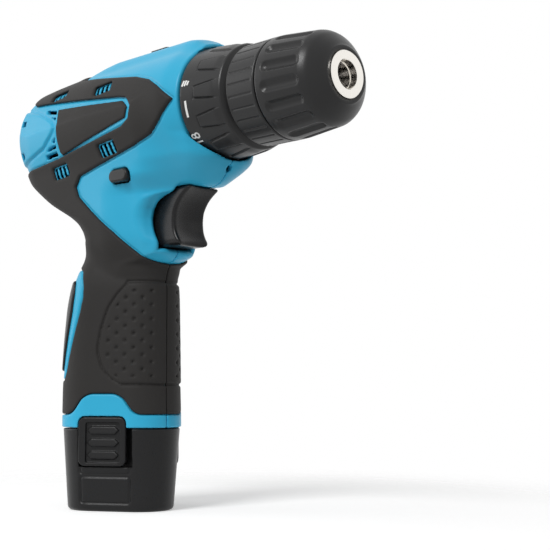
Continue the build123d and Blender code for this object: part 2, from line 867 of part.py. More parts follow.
for name, side in (("side_panel_right", -1), ("side_panel_left", 1)):
    with BuildPart() as side_panel:
        add(outer_form(panel_thickness))
        add(housing_outside, mode=Mode.SUBTRACT)
        with BuildSketch(Plane.XZ):
            Polygon(*[(x, axis_height + rise) for x, rise in side_panel_outline], align=None)
        extrude(amount=-side * 40, mode=Mode.INTERSECT)
    save(side_panel.part, name)

# Terminal block in the head of the pack cavity, with three clips into the tower's slots

with BuildPart() as terminal_block:
    with BuildSketch(Plane.XY.offset(block_bottom)):
        rounded_triangle(cavity_radius - seat_gap)
    extrude(amount=block_top - block_bottom)
save(terminal_block.part, "terminal_block")

with BuildPart() as terminal_clips:
    for angle, reach in ((0, cell_ring), (-latch_angle, flat_offset), (latch_angle, flat_offset)):
        inset = slot_depth - 0.1 - contact_thickness - clip_gap
        with BuildSketch(face_plane(angle, reach + tower_radius - inset)):
            with Locations((0, block_bottom - clip_reach / 2)):
                Rectangle(contact_width - 1, clip_reach)
        extrude(amount=contact_thickness)
save(terminal_clips.part, "terminal_clips")

# Switch, trigger, direction button and lamp

with BuildPart() as switch_body:
    with BuildSketch(Plane.XZ.offset(-switch_width / 2)):
        with Locations((switch_back, axis_height - switch_bottom_drop)):
            Rectangle(
                switch_front - switch_back,
                switch_bottom_drop - switch_top_drop,
                align=(Align.MIN, Align.MIN),
            )
    extrude(amount=switch_width)
    chamfer(switch_body.edges().filter_by(Axis.X), length=1.0)
    trigger_middle = (trigger_top_drop + trigger_bottom_drop) / 2
    with BuildSketch(cross_plane(switch_front)):
        with Locations((0, -trigger_middle)):
            Circle(stem_radius + running_gap)
    extrude(amount=-stem_reach, mode=Mode.SUBTRACT)
save(switch_body.part, "switch_body")

with BuildPart() as trigger:
    with BuildSketch(Plane.XZ.offset(-trigger_width / 2)):
        with BuildLine():
            lower = (trigger_lip, axis_height - trigger_bottom_drop)
            upper = (trigger_brow, axis_height - trigger_top_drop)
            hollow = (trigger_front, axis_height - trigger_middle - 2.0)
            ThreePointArc(lower, hollow, upper)
            Polyline(
                upper,
                (trigger_rear + 3, axis_height - trigger_top_drop),
                (trigger_rear, axis_height - trigger_top_drop - 4),
                (trigger_rear, axis_height - trigger_bottom_drop + 4),
                (trigger_rear + 3, axis_height - trigger_bottom_drop),
                lower,
            )
        make_face()
    extrude(amount=trigger_width)
    front_edges = trigger.faces().filter_by(GeomType.CYLINDER).sort_by(Axis.X)[-1].edges()
    fillet(front_edges.filter_by(GeomType.CIRCLE), radius=trigger_edge)
    with BuildSketch(cross_plane(trigger_rear)):
        with Locations((0, -trigger_middle)):
            Circle(stem_radius)
    extrude(amount=-(trigger_rear - switch_front + stem_reach - trigger_travel - 1))
save(trigger.part, "trigger")

with BuildPart() as direction_button:
    with BuildSketch(Plane.XZ.offset(-button_span / 2)):
        with Locations((button_x, axis_height - button_drop)):
            SlotOverall(button_length, button_height)
    extrude(amount=button_span)
    ends = direction_button.faces().sort_by(Axis.Y)
    fillet(ends[0].edges() + ends[-1].edges(), radius=1.0)
save(direction_button.part, "direction_button")

with BuildPart() as led_lamp:
    with BuildSketch(cross_plane(led_x - led_length - 3)):
        with Locations((0, -led_drop)):
            Circle(led_radius)
    extrude(amount=led_length)
    fillet(led_lamp.faces().sort_by(Axis.X)[-1].edges(), radius=led_radius * 0.8)
save(led_lamp.part, "led_lamp")

# Leads from the terminal block to the switch and from the switch to the motor

with BuildPart() as battery_leads:
    for side in (-1, 1):
        with BuildSketch(Plane.XY.offset(block_top)):
            with Locations((4, side * 5)):
                Circle(lead_radius)
        extrude(amount=axis_height - switch_bottom_drop - block_top)
save(battery_leads.part, "battery_leads")

# Motor: can, magnets, end cap with brushes, and the wound armature on its shaft

with BuildPart() as motor_can:
    tube(can_rear, can_front - can_rear, can_radius, can_radius - can_wall)
    tube(can_front - 2 * can_wall, 2 * can_wall, can_radius, shaft_radius + running_gap)
save(motor_can.part, "motor_can")

with BuildPart() as motor_magnets:
    with BuildSketch(cross_plane(armature_x - armature_length / 2 - 2)):
        Circle(can_radius - can_wall)
        Circle(magnet_radius, mode=Mode.SUBTRACT)
        Rectangle(2 * can_radius, 8, mode=Mode.SUBTRACT)
    extrude(amount=armature_length + 4)
save(motor_magnets.part, "motor_magnets")

with BuildPart() as motor_end_cap:
    tube(can_rear - end_cap_thickness, end_cap_thickness, can_radius, shaft_radius + running_gap)
    tube(can_rear, 2.0, can_radius - can_wall, can_radius - can_wall - 2)
save(motor_end_cap.part, "motor_end_cap")

with BuildPart() as motor_brushes:
    for side in (-1, 1):
        with BuildSketch(cross_plane(can_rear)):
            brush_inner = commutator_radius + trim_gap
            brush_outer = can_radius - can_wall - 2.2
            with Locations((side * (brush_inner + brush_outer) / 2, 0)):
                Rectangle(brush_outer - brush_inner, brush_height)
        extrude(amount=4.0)
save(motor_brushes.part, "motor_brushes")

with BuildPart() as motor_shaft:
    tube(shaft_rear, stage_starts[0] + pinion_length - shaft_rear, shaft_radius, 0.4)
save(motor_shaft.part, "motor_shaft")

with BuildPart() as armature:
    with BuildSketch(cross_plane(armature_x - armature_length / 2)):
        Circle(armature_radius)
        Circle(shaft_radius, mode=Mode.SUBTRACT)
        with PolarLocations(armature_radius - 1.5, armature_slots):
            SlotOverall(5.0, 1.6, mode=Mode.SUBTRACT)
    extrude(amount=armature_length)
save(armature.part, "armature")

with BuildPart() as commutator:
    tube(can_rear + 0.6, commutator_length, commutator_radius, shaft_radius)
save(commutator.part, "commutator")

# Gearbox case, its rear plate and the spindle bearing

with BuildPart() as motor_plate:
    tube(can_front, plate_thickness, case_bore, shaft_radius + trim_gap)
save(motor_plate.part, "motor_plate")

with BuildPart() as gear_case:
    tube(case_rear, case_wall_x - case_rear, case_radius, case_bore)
    tube(case_wall_x, case_wall, case_radius, nose_bore)
    tube(case_wall_x + case_wall, nose_end - case_wall_x - case_wall, nose_radius, nose_bore)
    tube(case_rear - 1, 1.0, case_radius, case_bore + seat_gap)
    with BuildSketch(cross_plane(nose_end)):
        Circle(bearing_radius)
    extrude(amount=-(nose_end - bearing_x), mode=Mode.SUBTRACT)
    with BuildSketch(cross_plane(case_wall_x)):
        with PolarLocations(ball_ring, ball_count):
            Circle(ball_radius + seat_gap)
    extrude(amount=case_wall, mode=Mode.SUBTRACT)
    with BuildSketch(Plane.XZ.offset(-2 * case_radius)):
        with Locations((fork_x + fork_width / 2 - knob_travel / 2, axis_height)):
            SlotOverall(
                knob_travel + 2 * fork_pin_radius + 2 * slide_gap,
                2 * fork_pin_radius + 2 * slide_gap,
            )
    extrude(amount=4 * case_radius, mode=Mode.SUBTRACT)
save(gear_case.part, "gear_case")

with BuildPart() as spindle_bearing:
    tube(bearing_x, bearing_width, bearing_radius, spindle_radius + running_gap)
save(spindle_bearing.part, "spindle_bearing")

# Planet stages: fixed, sliding and clutch ring gears, planet sets and carriers

clutch_ring_length = case_wall_x - stage_starts[2] - 0.6
for stage, start in enumerate(stage_starts):
    with BuildPart() as ring_gear:
        with BuildSketch(cross_plane(start)):
            Circle(case_bore - seat_gap)
            Circle(ring_gear_radius + tooth_clear + tooth_depth, mode=Mode.SUBTRACT)
            gear_outline(sun_teeth + 2 * planet_teeth, ring_gear_radius + tooth_clear, outwards=False)
        extrude(amount=gear_width - 0.5)
        if stage == 1:
            tube(start, gear_width, case_bore - seat_gap, ring_gear_radius + tooth_clear + tooth_depth)
            with BuildSketch(cross_plane(fork_x)):
                Circle(case_bore)
                Circle(case_bore - seat_gap - groove_depth, mode=Mode.SUBTRACT)
            extrude(amount=fork_width, mode=Mode.SUBTRACT)
        if stage == 2:
            rim_bore = ring_gear_radius + tooth_clear + tooth_depth
            tube(start, clutch_ring_length, case_bore - seat_gap, rim_bore)
    save(ring_gear.part, f"ring_gear_{stage + 1}")

    with BuildPart() as planets:
        for index in range(planet_count):
            turn = radians(90 + 360 / planet_count * index)
            place = cross_plane(start + 0.3)
            centre = place.from_local_coords((planet_ring * cos(turn), planet_ring * sin(turn), 0))
            with BuildSketch(Plane(origin=centre, x_dir=(0, 1, 0), z_dir=(1, 0, 0))):
                root = gear_outline(planet_teeth, planet_radius - tooth_clear)
                Circle(root)
                Circle(planet_pin_radius + running_gap, mode=Mode.SUBTRACT)
            extrude(amount=pinion_length)
    save(planets.part, f"planet_gears_{stage + 1}")

for stage, start in enumerate(stage_starts):
    plate_x = start + gear_width - 0.5
    with BuildPart() as carrier:
        with BuildSketch(cross_plane(plate_x)):
            Circle(carrier_radius)
        extrude(amount=carrier_thickness)
        with BuildSketch(cross_plane(plate_x)):
            with Locations(Rotation(0, 0, 90)):
                with PolarLocations(planet_ring, planet_count):
                    Circle(planet_pin_radius)
        extrude(amount=-(gear_width - 0.9))
        if stage < 2:
            with BuildSketch(cross_plane(plate_x + carrier_thickness)):
                root = gear_outline(sun_teeth, sun_radius - tooth_clear)
                Circle(root)
            extrude(amount=stage_starts[stage + 1] + pinion_length - plate_x - carrier_thickness)
        else:
            with BuildSketch(cross_plane(plate_x + carrier_thickness)):
                Circle(spindle_radius)
            spindle_end = chuck_rear + web_inset + web_thickness + arbor_length
            extrude(amount=spindle_end - plate_x - carrier_thickness)
            with BuildSketch(cross_plane(spindle_end)):
                Circle(chuck_screw_radius)
            extrude(amount=-2 * arbor_length, mode=Mode.SUBTRACT)
    save(carrier.part, ("carrier_1", "carrier_2", "spindle")[stage])

with BuildPart() as pinion:
    with BuildSketch(cross_plane(stage_starts[0])):
        root = gear_outline(sun_teeth, sun_radius - tooth_clear)
        Circle(root)
        Circle(shaft_radius, mode=Mode.SUBTRACT)
    extrude(amount=pinion_length)
save(pinion.part, "pinion")

# Speed knob with the fork that carries the sliding ring gear

with BuildPart() as speed_selector:
    with BuildSketch(cross_plane(fork_x)):
        Circle(fork_radius + fork_thickness)
        Circle(fork_radius, mode=Mode.SUBTRACT)
        Rectangle(3 * fork_radius, 3 * fork_radius, align=(Align.CENTER, Align.MAX), mode=Mode.SUBTRACT)
    extrude(amount=fork_width)
    for side in (-1, 1):
        with BuildSketch(Plane.XZ.offset(side * (fork_radius + fork_thickness / 2))):
            with Locations((fork_x + fork_width / 2, axis_height)):
                Circle(fork_pin_radius)
        extrude(amount=-side * (fork_radius + fork_thickness / 2 - case_bore + groove_depth - 0.2))
    with BuildSketch(cross_plane(fork_x)):
        with Locations((0, fork_radius + fork_thickness / 2)):
            Rectangle(
                2 * fork_width + 4,
                knob_floor + 1 - fork_radius - fork_thickness / 2,
                align=(Align.CENTER, Align.MIN),
            )
    extrude(amount=fork_width)
    with BuildSketch(Plane.XY.offset(axis_height + knob_floor)):
        with Locations((knob_x - knob_length / 2, 0)):
            RectangleRounded(knob_length, knob_width, 1.5, align=(Align.MIN, Align.CENTER))
    extrude(amount=knob_height)
    with BuildSketch(Plane.XY.offset(axis_height + knob_floor + knob_height)):
        with Locations((knob_x, 0)):
            with GridLocations(2.4, 0, 4, 1):
                Rectangle(1.0, knob_width - 4)
    extrude(amount=-0.8, mode=Mode.SUBTRACT)
save(speed_selector.part, "speed_selector")

# Clutch: setting ring, nut, spring, washer and balls

with BuildPart() as clutch_ring:
    with BuildSketch(Plane.XZ):
        Polygon(
            (clutch_rear, axis_height + clutch_bore),
            (clutch_rear, axis_height + clutch_rear_radius),
            (clutch_front, axis_height + clutch_front_radius),
            (clutch_front, axis_height + nose_radius + running_gap),
            (clutch_front - clutch_front_wall, axis_height + nose_radius + running_gap),
            (clutch_front - clutch_front_wall, axis_height + clutch_bore),
            align=None,
        )
    revolve(axis=axis_line)
    fillet(
        clutch_ring.edges().filter_by(GeomType.CIRCLE).group_by(SortBy.RADIUS)[-1],
        radius=0.6,
    )
    pad_slope = (clutch_rear_radius - clutch_front_radius) / clutch_length
    for index in range(pad_count):
        turn = 360 / pad_count * index
        outwards = Vector(0, cos(radians(turn)), sin(radians(turn)))
        sideways = Vector(0, -sin(radians(turn)), cos(radians(turn)))
        pad_plane = Plane(origin=Vector(0, 0, axis_height), x_dir=(1, 0, 0), z_dir=outwards)
        flip = 1 if pad_plane.y_dir.dot(sideways) > 0 else -1
        with BuildSketch(pad_plane.offset(clutch_bore + 1)):
            Polygon(
                (clutch_front - pad_length, -flip * pad_rear_width / 2),
                (clutch_front - 0.6, -flip * pad_front_width / 2),
                (clutch_front - 0.6, flip * pad_front_width / 2),
                (clutch_front - pad_length, flip * pad_rear_width / 2),
                align=None,
            )
        extrude(amount=clutch_front_radius + pad_slope * pad_length / 2 + pad_height - clutch_bore - 1)
save(clutch_ring.part, "clutch_ring")

with BuildPart() as clutch_nut:
    tube(nut_x, nut_length, clutch_bore - trim_gap, nose_radius + running_gap)
save(clutch_nut.part, "clutch_nut")

with BuildPart() as clutch_spring:
    with BuildLine() as spring_line:
        Helix(
            pitch=(spring_length - spring_wire) / spring_turns,
            height=spring_length - spring_wire,
            radius=spring_radius,
            center=(spring_x + spring_wire / 2, 0, axis_height),
            direction=(1, 0, 0),
        )
    with BuildSketch(spring_line.line ^ 0):
        Circle(spring_wire / 2)
    sweep()
save(clutch_spring.part, "clutch_spring")

with BuildPart() as clutch_washer:
    tube(washer_x, washer_thickness, washer_radius, nose_radius + seat_gap)
save(clutch_washer.part, "clutch_washer")

with BuildPart() as clutch_balls:
    for index in range(ball_count):
        turn = radians(360 / ball_count * index)
        with Locations((ball_x, ball_ring * cos(turn), axis_height + ball_ring * sin(turn))):
            Sphere(ball_radius)
save(clutch_balls.part, "clutch_balls")

# Chuck: steel body on the spindle, rear ring, screw, fluted sleeve, nut and three jaws


def jaw_plane(index):
    """Plane at a jaw's rear end with the jaws drawn back, its normal along the jaw's slide."""
    turn = radians(90 + 360 / jaw_count * index)
    slope = radians(jaw_angle)
    outwards = Vector(0, cos(turn), sin(turn))
    along = Vector(cos(slope), 0, 0) - outwards * sin(slope)
    tip = Vector(nose_front - jaw_tip_inset, 0, axis_height) + outwards * jaw_tip_radius
    rear = tip - along * (jaw_travel + jaw_length)
    return Plane(origin=rear, x_dir=(0, -sin(turn), cos(turn)), z_dir=along), outwards, along, turn


with BuildPart() as chuck_body:
    web_x = chuck_rear + web_inset
    nut_start = sleeve_front - nut_setback
    with BuildSketch(Plane.XZ):
        Polygon(
            (web_x, axis_height + spindle_radius),
            (web_x, axis_height + chuck_body_radius),
            (nut_start, axis_height + chuck_body_radius),
            (nut_start, axis_height + nut_groove_radius),
            (nut_start + chuck_nut_length + 0.4, axis_height + nut_groove_radius),
            (nut_start + chuck_nut_length + 0.4, axis_height + chuck_body_radius),
            (sleeve_front - sleeve_nose_bore_length - 1, axis_height + chuck_body_radius),
            (sleeve_front - sleeve_nose_bore_length - 1, axis_height + nose_ring_radius),
            (nose_front, axis_height + nose_ring_radius),
            (nose_front, axis_height + chuck_mouth_radius),
            (nose_front - chuck_mouth_length, axis_height + chuck_mouth_radius),
            (nose_front - chuck_mouth_length, axis_height + chuck_bore_radius),
            (web_x + web_thickness + arbor_length, axis_height + chuck_bore_radius),
            (web_x + web_thickness + arbor_length, axis_height + spindle_radius),
            align=None,
        )
    revolve(axis=axis_line)
    for index in range(jaw_count):
        place, outwards, along, turn = jaw_plane(index)
        with BuildSketch(place.offset(-8)):
            Circle(jaw_radius + running_gap)
        extrude(amount=jaw_length + jaw_travel + 9, mode=Mode.SUBTRACT)
    chamfer(
        chuck_body.edges().filter_by(GeomType.CIRCLE).group_by(Axis.X)[-1],
        length=0.4,
    )
save(chuck_body.part, "chuck_body")

for index in range(jaw_count):
    place, outwards, along, turn = jaw_plane(index)
    drawn_back = Vector(0, 0, axis_height) - along * jaw_travel
    with BuildPart() as jaw:
        with BuildSketch(place):
            Circle(jaw_radius)
        extrude(amount=jaw_length)
        split(bisect_by=Plane(origin=drawn_back + outwards * jaw_face, z_dir=outwards), keep=Keep.TOP)
        for swing in (-30, 30):
            inwards = Vector(0, cos(turn + radians(swing)), sin(turn + radians(swing)))
            split(bisect_by=Plane(origin=drawn_back + inwards * 0.15, z_dir=inwards), keep=Keep.TOP)
    save(jaw.part, f"jaw_{index + 1}")

with BuildPart() as chuck_rear_ring:
    with BuildSketch(Plane.XZ):
        Polygon(
            (chuck_rear, axis_height + rear_ring_bore),
            (chuck_rear, axis_height + rear_ring_radius),
            (rear_ring_front, axis_height + rear_ring_radius),
            (rear_ring_front, axis_height + rear_ring_bore),
            (web_x + web_thickness, axis_height + rear_ring_bore),
            (web_x + web_thickness, axis_height + chuck_body_radius),
            (web_x, axis_height + chuck_body_radius),
            (web_x, axis_height + rear_ring_bore),
            align=None,
        )
    revolve(axis=axis_line)
    rim = chuck_rear_ring.edges().filter_by(GeomType.CIRCLE).group_by(SortBy.RADIUS)[-1]
    chamfer(rim, length=0.4)
save(chuck_rear_ring.part, "chuck_rear_ring")

with BuildPart() as chuck_screw:
    screw_head_x = web_x + web_thickness + arbor_length
    tube(screw_head_x, chuck_screw_head_height, chuck_screw_head, 1.5)
    tube(screw_head_x - 1.8 * arbor_length, 1.8 * arbor_length, chuck_screw_radius, 0.5)
save(chuck_screw.part, "chuck_screw")

jaw_slope = tan(radians(jaw_angle))


def jaw_edge(x):
    """Outer edge of the jaws at x, from the axis."""
    rise = (nose_front - jaw_tip_inset - x) * jaw_slope
    return jaw_tip_radius + rise + jaw_radius / cos(radians(jaw_angle))


with BuildPart() as chuck_nut:
    nut_front = nut_start + chuck_nut_length
    with BuildSketch(Plane.XZ):
        Polygon(
            (nut_start + 0.2, axis_height + jaw_edge(nut_start) + trim_gap),
            (nut_start + 0.2, axis_height + sleeve_bore),
            (nut_front, axis_height + sleeve_bore),
            (nut_front, axis_height + jaw_edge(nut_front) + trim_gap),
            align=None,
        )
    revolve(axis=axis_line)
save(chuck_nut.part, "chuck_nut")

with BuildPart() as chuck_sleeve:
    shoulder_x = sleeve_front - sleeve_nose_length
    bore_x = sleeve_front - sleeve_nose_bore_length
    with BuildSketch(Plane.XZ):
        Polygon(
            (sleeve_rear, axis_height + sleeve_bore),
            (sleeve_rear, axis_height + sleeve_rear_radius),
            (shoulder_x, axis_height + sleeve_shoulder_radius),
            (sleeve_front, axis_height + sleeve_nose_radius),
            (sleeve_front, axis_height + nose_ring_radius + running_gap),
            (bore_x, axis_height + nose_ring_radius + running_gap),
            (bore_x, axis_height + chuck_body_radius + trim_gap),
            (nut_front + 3, axis_height + sleeve_bore),
            align=None,
        )
    revolve(axis=axis_line)
    flute_slope = (sleeve_rear_radius - sleeve_shoulder_radius) / (shoulder_x - sleeve_rear)
    for index in range(flute_count):
        turn = radians(360 / flute_count * index)
        outwards = Vector(0, cos(turn), sin(turn))
        start = Vector(sleeve_rear + 5, 0, axis_height) + outwards * (
            sleeve_rear_radius - 5 * flute_slope + flute_radius - flute_depth
        )
        along = Vector(1, 0, 0) - outwards * flute_slope
        with BuildSketch(Plane(origin=start, z_dir=along)):
            Circle(flute_radius)
        extrude(amount=shoulder_x - sleeve_rear - 8, mode=Mode.SUBTRACT)
save(chuck_sleeve.part, "chuck_sleeve")
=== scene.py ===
"""Look of the cordless drill: moulded shells, soft grips, pack and chuck, meshed from named sizes.

Sizes are millimetres in the model's frame: origin under the pack, +X along the chuck, +Y to the left, +Z up.
"""

import json
import math

import bpy
import numpy as np
from mathutils import Matrix


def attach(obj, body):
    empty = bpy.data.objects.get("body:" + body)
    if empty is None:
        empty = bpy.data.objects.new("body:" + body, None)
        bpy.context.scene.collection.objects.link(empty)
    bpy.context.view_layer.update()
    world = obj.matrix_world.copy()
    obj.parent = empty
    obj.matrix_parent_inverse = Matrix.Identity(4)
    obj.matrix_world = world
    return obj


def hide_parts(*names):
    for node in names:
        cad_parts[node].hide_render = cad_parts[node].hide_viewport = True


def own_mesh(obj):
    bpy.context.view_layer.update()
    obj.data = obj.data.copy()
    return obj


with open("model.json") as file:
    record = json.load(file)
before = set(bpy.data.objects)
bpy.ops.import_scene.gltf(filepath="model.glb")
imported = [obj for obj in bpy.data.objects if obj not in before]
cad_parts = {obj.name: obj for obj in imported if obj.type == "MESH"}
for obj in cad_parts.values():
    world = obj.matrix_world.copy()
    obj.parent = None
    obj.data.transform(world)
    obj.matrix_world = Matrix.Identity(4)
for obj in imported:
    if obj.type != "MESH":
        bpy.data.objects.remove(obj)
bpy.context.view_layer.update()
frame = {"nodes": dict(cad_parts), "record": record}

MM_PER_M = 1000.0
MOUNTS = {mount["name"]: mount for mount in frame["record"]["mounts"]}

# Sizes that several pieces share
AXIS = round(MM_PER_M * MOUNTS["chuck_mouth"]["pos_m"][2], 3)  # Height of the chuck's axis
REAR, FRONT = -58.0, 62.2  # Ends of the barrel
WALL = 2.4  # Thickness of the housing
SINK = 0.6  # Grips and inlays go this deep into the housing
CELL_RING = 10.85  # From the handle's middle to the axis of each cell
CELL_ROOM = 11.5  # Radius of the cavity round each cell
RIM_LOW = 36.0  # Lower end of the housing
COS_30, SIN_30 = 0.866, 0.5
CURVE_SAMPLES = 600
FAR = 9.0  # A distance at which a line or a dimple no longer shows

# Latch on each slanted face of the pack, and the gap round it
LATCH_SHIFT = 2.4  # From the middle of the face back to the latch
LATCH_Z, LATCH_SIZE, LATCH_CORNER = 30.05, (22.0, 21.1), 3.0
TONGUE_HALF = 6.0
LATCH_GAP = 0.4

# Trigger and its stem, and the gaps round them
TRIGGER_Z, TRIGGER_HALF, TRIGGER_GAP = 125.95, 8.75, 0.4
STEM_RADIUS, STEM_GAP = 3.0, 0.6

# Fields: distances in millimetres, negative inside


def union(*fields):
    """What is inside any of the fields."""
    total = fields[0]
    for field in fields[1:]:
        total = np.minimum(total, field)
    return total


def common(*fields):
    """What is inside all of the fields."""
    total = fields[0]
    for field in fields[1:]:
        total = np.maximum(total, field)
    return total


def blended(a, b, width):
    """Union of two fields, with the corner between them filled over a width."""
    h = np.clip(0.5 + 0.5 * (b - a) / width, 0, 1)
    return b * (1 - h) + a * h - width * h * (1 - h)


def rounded(a, b, edge):
    """Common part of two fields, with its edge rounded to a radius."""
    u, v = np.maximum(a + edge, 0), np.maximum(b + edge, 0)
    return np.minimum(np.maximum(a, b), -edge) + np.sqrt(u * u + v * v)


def smooth(start, end, value):
    """Step from 0 at start to 1 at end."""
    t = np.clip((value - start) / (end - start), 0, 1)
    return t * t * (3 - 2 * t)


def bell(distance, width):
    """1 at no distance, fading to nothing over about two widths."""
    return np.exp(-(distance / width) ** 2)


def along(t, knots, soft):
    """Value of a knotted curve at t, its corners softened over a length."""
    places, values = zip(*knots)
    xs = np.linspace(places[0] - 4 * soft, places[-1] + 4 * soft, CURVE_SAMPLES)
    ys = np.interp(xs, places, values)
    step = xs[1] - xs[0]
    n = int(3 * soft / step) + 1
    weights = np.exp(-0.5 * (np.arange(-n, n + 1) * step / soft) ** 2)
    ys = np.convolve(np.pad(ys, n, mode="edge"), weights / weights.sum(), mode="valid")
    return np.interp(t, xs, ys).astype(np.float32)


def outline(points, u, v):
    """Signed distance to a closed outline in the plane (u, v)."""
    points = np.array(points, dtype=np.float32)
    u, v = np.broadcast_arrays(u, v)
    best = np.full(u.shape, 1e9, dtype=np.float32)
    inside = np.zeros(u.shape, dtype=bool)
    for (ax, ay), (bx, by) in zip(points, np.roll(points, -1, axis=0)):
        ex, ey = bx - ax, by - ay
        t = np.clip(((u - ax) * ex + (v - ay) * ey) / (ex * ex + ey * ey), 0, 1)
        best = np.minimum(best, (u - ax - t * ex) ** 2 + (v - ay - t * ey) ** 2)
        inside ^= ((ay > v) != (by > v)) & (u < (bx - ax) * (v - ay) / (by - ay + 1e-9) + ax)
    return np.where(inside, -1, 1) * np.sqrt(best)


def cornered(du, dv, corner):
    """Box with rounded corners, from how far a point is past each pair of its sides."""
    du, dv = du + corner, dv + corner
    return np.minimum(np.maximum(du, dv), 0) + np.hypot(np.maximum(du, 0), np.maximum(dv, 0)) - corner


def rectangle(u, v, middle, size, corner):
    """Rectangle with rounded corners in the plane (u, v)."""
    return cornered(np.abs(u - middle[0]) - size[0] / 2, np.abs(v - middle[1]) - size[1] / 2, corner)


def from_cells(x, y, shift):
    """Distance from the triangle through the three cell axes; its offset curves are the handle's outlines."""
    turns = (0, 2 * math.pi / 3, 4 * math.pi / 3)
    corners = [(CELL_RING * math.cos(a), CELL_RING * math.sin(a)) for a in turns]
    squares, sides = [], []
    for (ax, ay), (bx, by) in zip(corners, corners[1:] + corners[:1]):
        ex, ey = bx - ax, by - ay
        length = math.hypot(ex, ey)
        px, py = x - shift - ax, y - ay
        t = np.clip((px * ex + py * ey) / length**2, 0, 1)
        squares.append((px - t * ex) ** 2 + (py - t * ey) ** 2)
        sides.append((px * ey - py * ex) / length)
    inner = common(*sides)
    return np.where(inner < 0, inner, np.sqrt(union(*squares)))


def slanted(x, y):
    """Distance out from the handle's middle to its right slanted face, and along that face from the latch."""
    return x * SIN_30 - y * COS_30, x * COS_30 + y * SIN_30 + LATCH_SHIFT


class Grid:
    """Block of space with points at a step, on which fields are drawn and meshed."""

    def __init__(self, low, high, step):
        self.low, self.step = np.array(low, dtype=np.float64), step
        counts = [int(math.ceil((b - a) / step)) + 1 for a, b in zip(low, high)]
        axes = [(np.arange(n) * step + a).astype(np.float32) for n, a in zip(counts, low)]
        self.x, self.y, self.z = axes[0][:, None, None], axes[1][None, :, None], axes[2][None, None, :]

    def mesh(self, field):
        """Points and quads on the zero level of a field."""
        field = field.astype(np.float32)
        inside = field < 0
        cells = tuple(n - 1 for n in field.shape)
        corners = [(i, j, k) for i in (0, 1) for j in (0, 1) for k in (0, 1)]
        count = np.zeros(cells, dtype=np.int8)
        for corner in corners:
            count += inside[tuple(slice(c, n + c) for c, n in zip(corner, cells))]
        active = (count > 0) & (count < len(corners))
        ids = np.argwhere(active)
        number = np.full(cells, -1, dtype=np.int64)
        number[active] = np.arange(len(ids))
        points = (ids + self.crossings(field, ids, corners)) * self.step + self.low
        return points, np.concatenate([self.faces(inside, number, axis) for axis in range(3)])

    @staticmethod
    def crossings(field, ids, corners):
        """Mean place, within each cell, of where the field changes sign on the cell's edges."""
        value = {corner: field[tuple((ids + corner).T)].astype(np.float64) for corner in corners}
        total, hits = np.zeros((len(ids), 3)), np.zeros(len(ids))
        for start in corners:
            for axis in range(3):
                if start[axis]:
                    continue
                end = tuple(v + (n == axis) for n, v in enumerate(start))
                cross = (value[start] < 0) != (value[end] < 0)
                t = np.where(cross, value[start] / np.where(cross, value[start] - value[end], 1), 0)
                point = np.tile(np.array(start, dtype=np.float64), (len(ids), 1))
                point[:, axis] += t
                total += point * cross[:, None]
                hits += cross
        return total / hits[:, None]

    @staticmethod
    def faces(inside, number, axis):
        """A quad round each edge along one axis whose ends lie on different sides of the surface."""
        a, b = [n for n in range(3) if n != axis]
        low, high = [slice(None)] * 3, [slice(None)] * 3
        low[axis], high[axis] = slice(0, -1), slice(1, None)
        where = np.argwhere(inside[tuple(low)] != inside[tuple(high)])
        keep = np.ones(len(where), dtype=bool)
        for n in (a, b):
            keep &= (where[:, n] > 0) & (where[:, n] < inside.shape[n] - 1)
        where = where[keep]
        ring = []
        for step_a, step_b in ((-1, -1), (0, -1), (0, 0), (-1, 0)):
            at = where.copy()
            at[:, a] += step_a
            at[:, b] += step_b
            ring.append(number[tuple(at.T)])
        quads = np.stack(ring, axis=1)
        # The ring of cells runs the other way round about the second axis
        outward = inside[tuple(where.T)] != (axis == 1)
        quads[~outward] = quads[~outward][:, ::-1]
        return quads


def add_mesh(name, points, quads, material, body, slot, *nodes):
    """Make an object from points in millimetres, hang it on a body and let it stand for nodes."""
    me = bpy.data.meshes.new(name)
    points = np.asarray(points, dtype=np.float64) / MM_PER_M
    quads = np.asarray(quads, dtype=np.int32)
    me.vertices.add(len(points))
    me.vertices.foreach_set("co", points.astype(np.float32).ravel())
    me.loops.add(quads.size)
    me.loops.foreach_set("vertex_index", quads.ravel())
    me.polygons.add(len(quads))
    me.polygons.foreach_set("loop_start", np.arange(0, quads.size, quads.shape[1], dtype=np.int32))
    me.polygons.foreach_set("use_smooth", np.ones(len(quads), dtype=bool))
    me.update(calc_edges=True)
    me.validate()
    me.materials.append(material)
    obj = bpy.data.objects.new(name, me)
    bpy.context.scene.collection.objects.link(obj)
    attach(obj, body)
    if nodes:
        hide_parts(*nodes)
    return obj


def add_pair(name, right, left, slot, bodies, nodes):
    """Add a right-hand mesh and the mirror image of another, each as points and quads."""
    add_mesh(name + "_right_look", *right, look[slot], bodies[0], slot, nodes[0])
    points, quads = left
    add_mesh(name + "_left_look", points * (1, -1, 1), quads[:, ::-1], look[slot], bodies[1], slot, nodes[1])


# Materials

MIX_A, MIX_B, MIX_RESULT = 6, 7, 2  # Colour sockets of a Mix node
DRIFT_SCALE = 28.0  # Slow change of colour, in waves per metre
GRAIN_DEPTH = 0.00015  # Height of the grain, in metres
WORN_EDGE = (0.53, 0.60)  # Pointiness from which an edge is worn, and at which it is fully worn
WORN_GAIN, WORN_LIFT = 1.5, 0.05  # A worn edge's colour, from the plain one
GRAIN_SPAN, ROUGH_DRIFT = (0.3, 0.7), 0.06
PLAIN, BRUSHED = (1.0, 1.0, 1.0), (8.0, 1.0, 1.0)


def add_node(tree, kind, **values):
    """New node with some of its inputs set."""
    node = tree.nodes.new(kind)
    for socket, value in values.items():
        node.inputs[socket].default_value = value
    return node


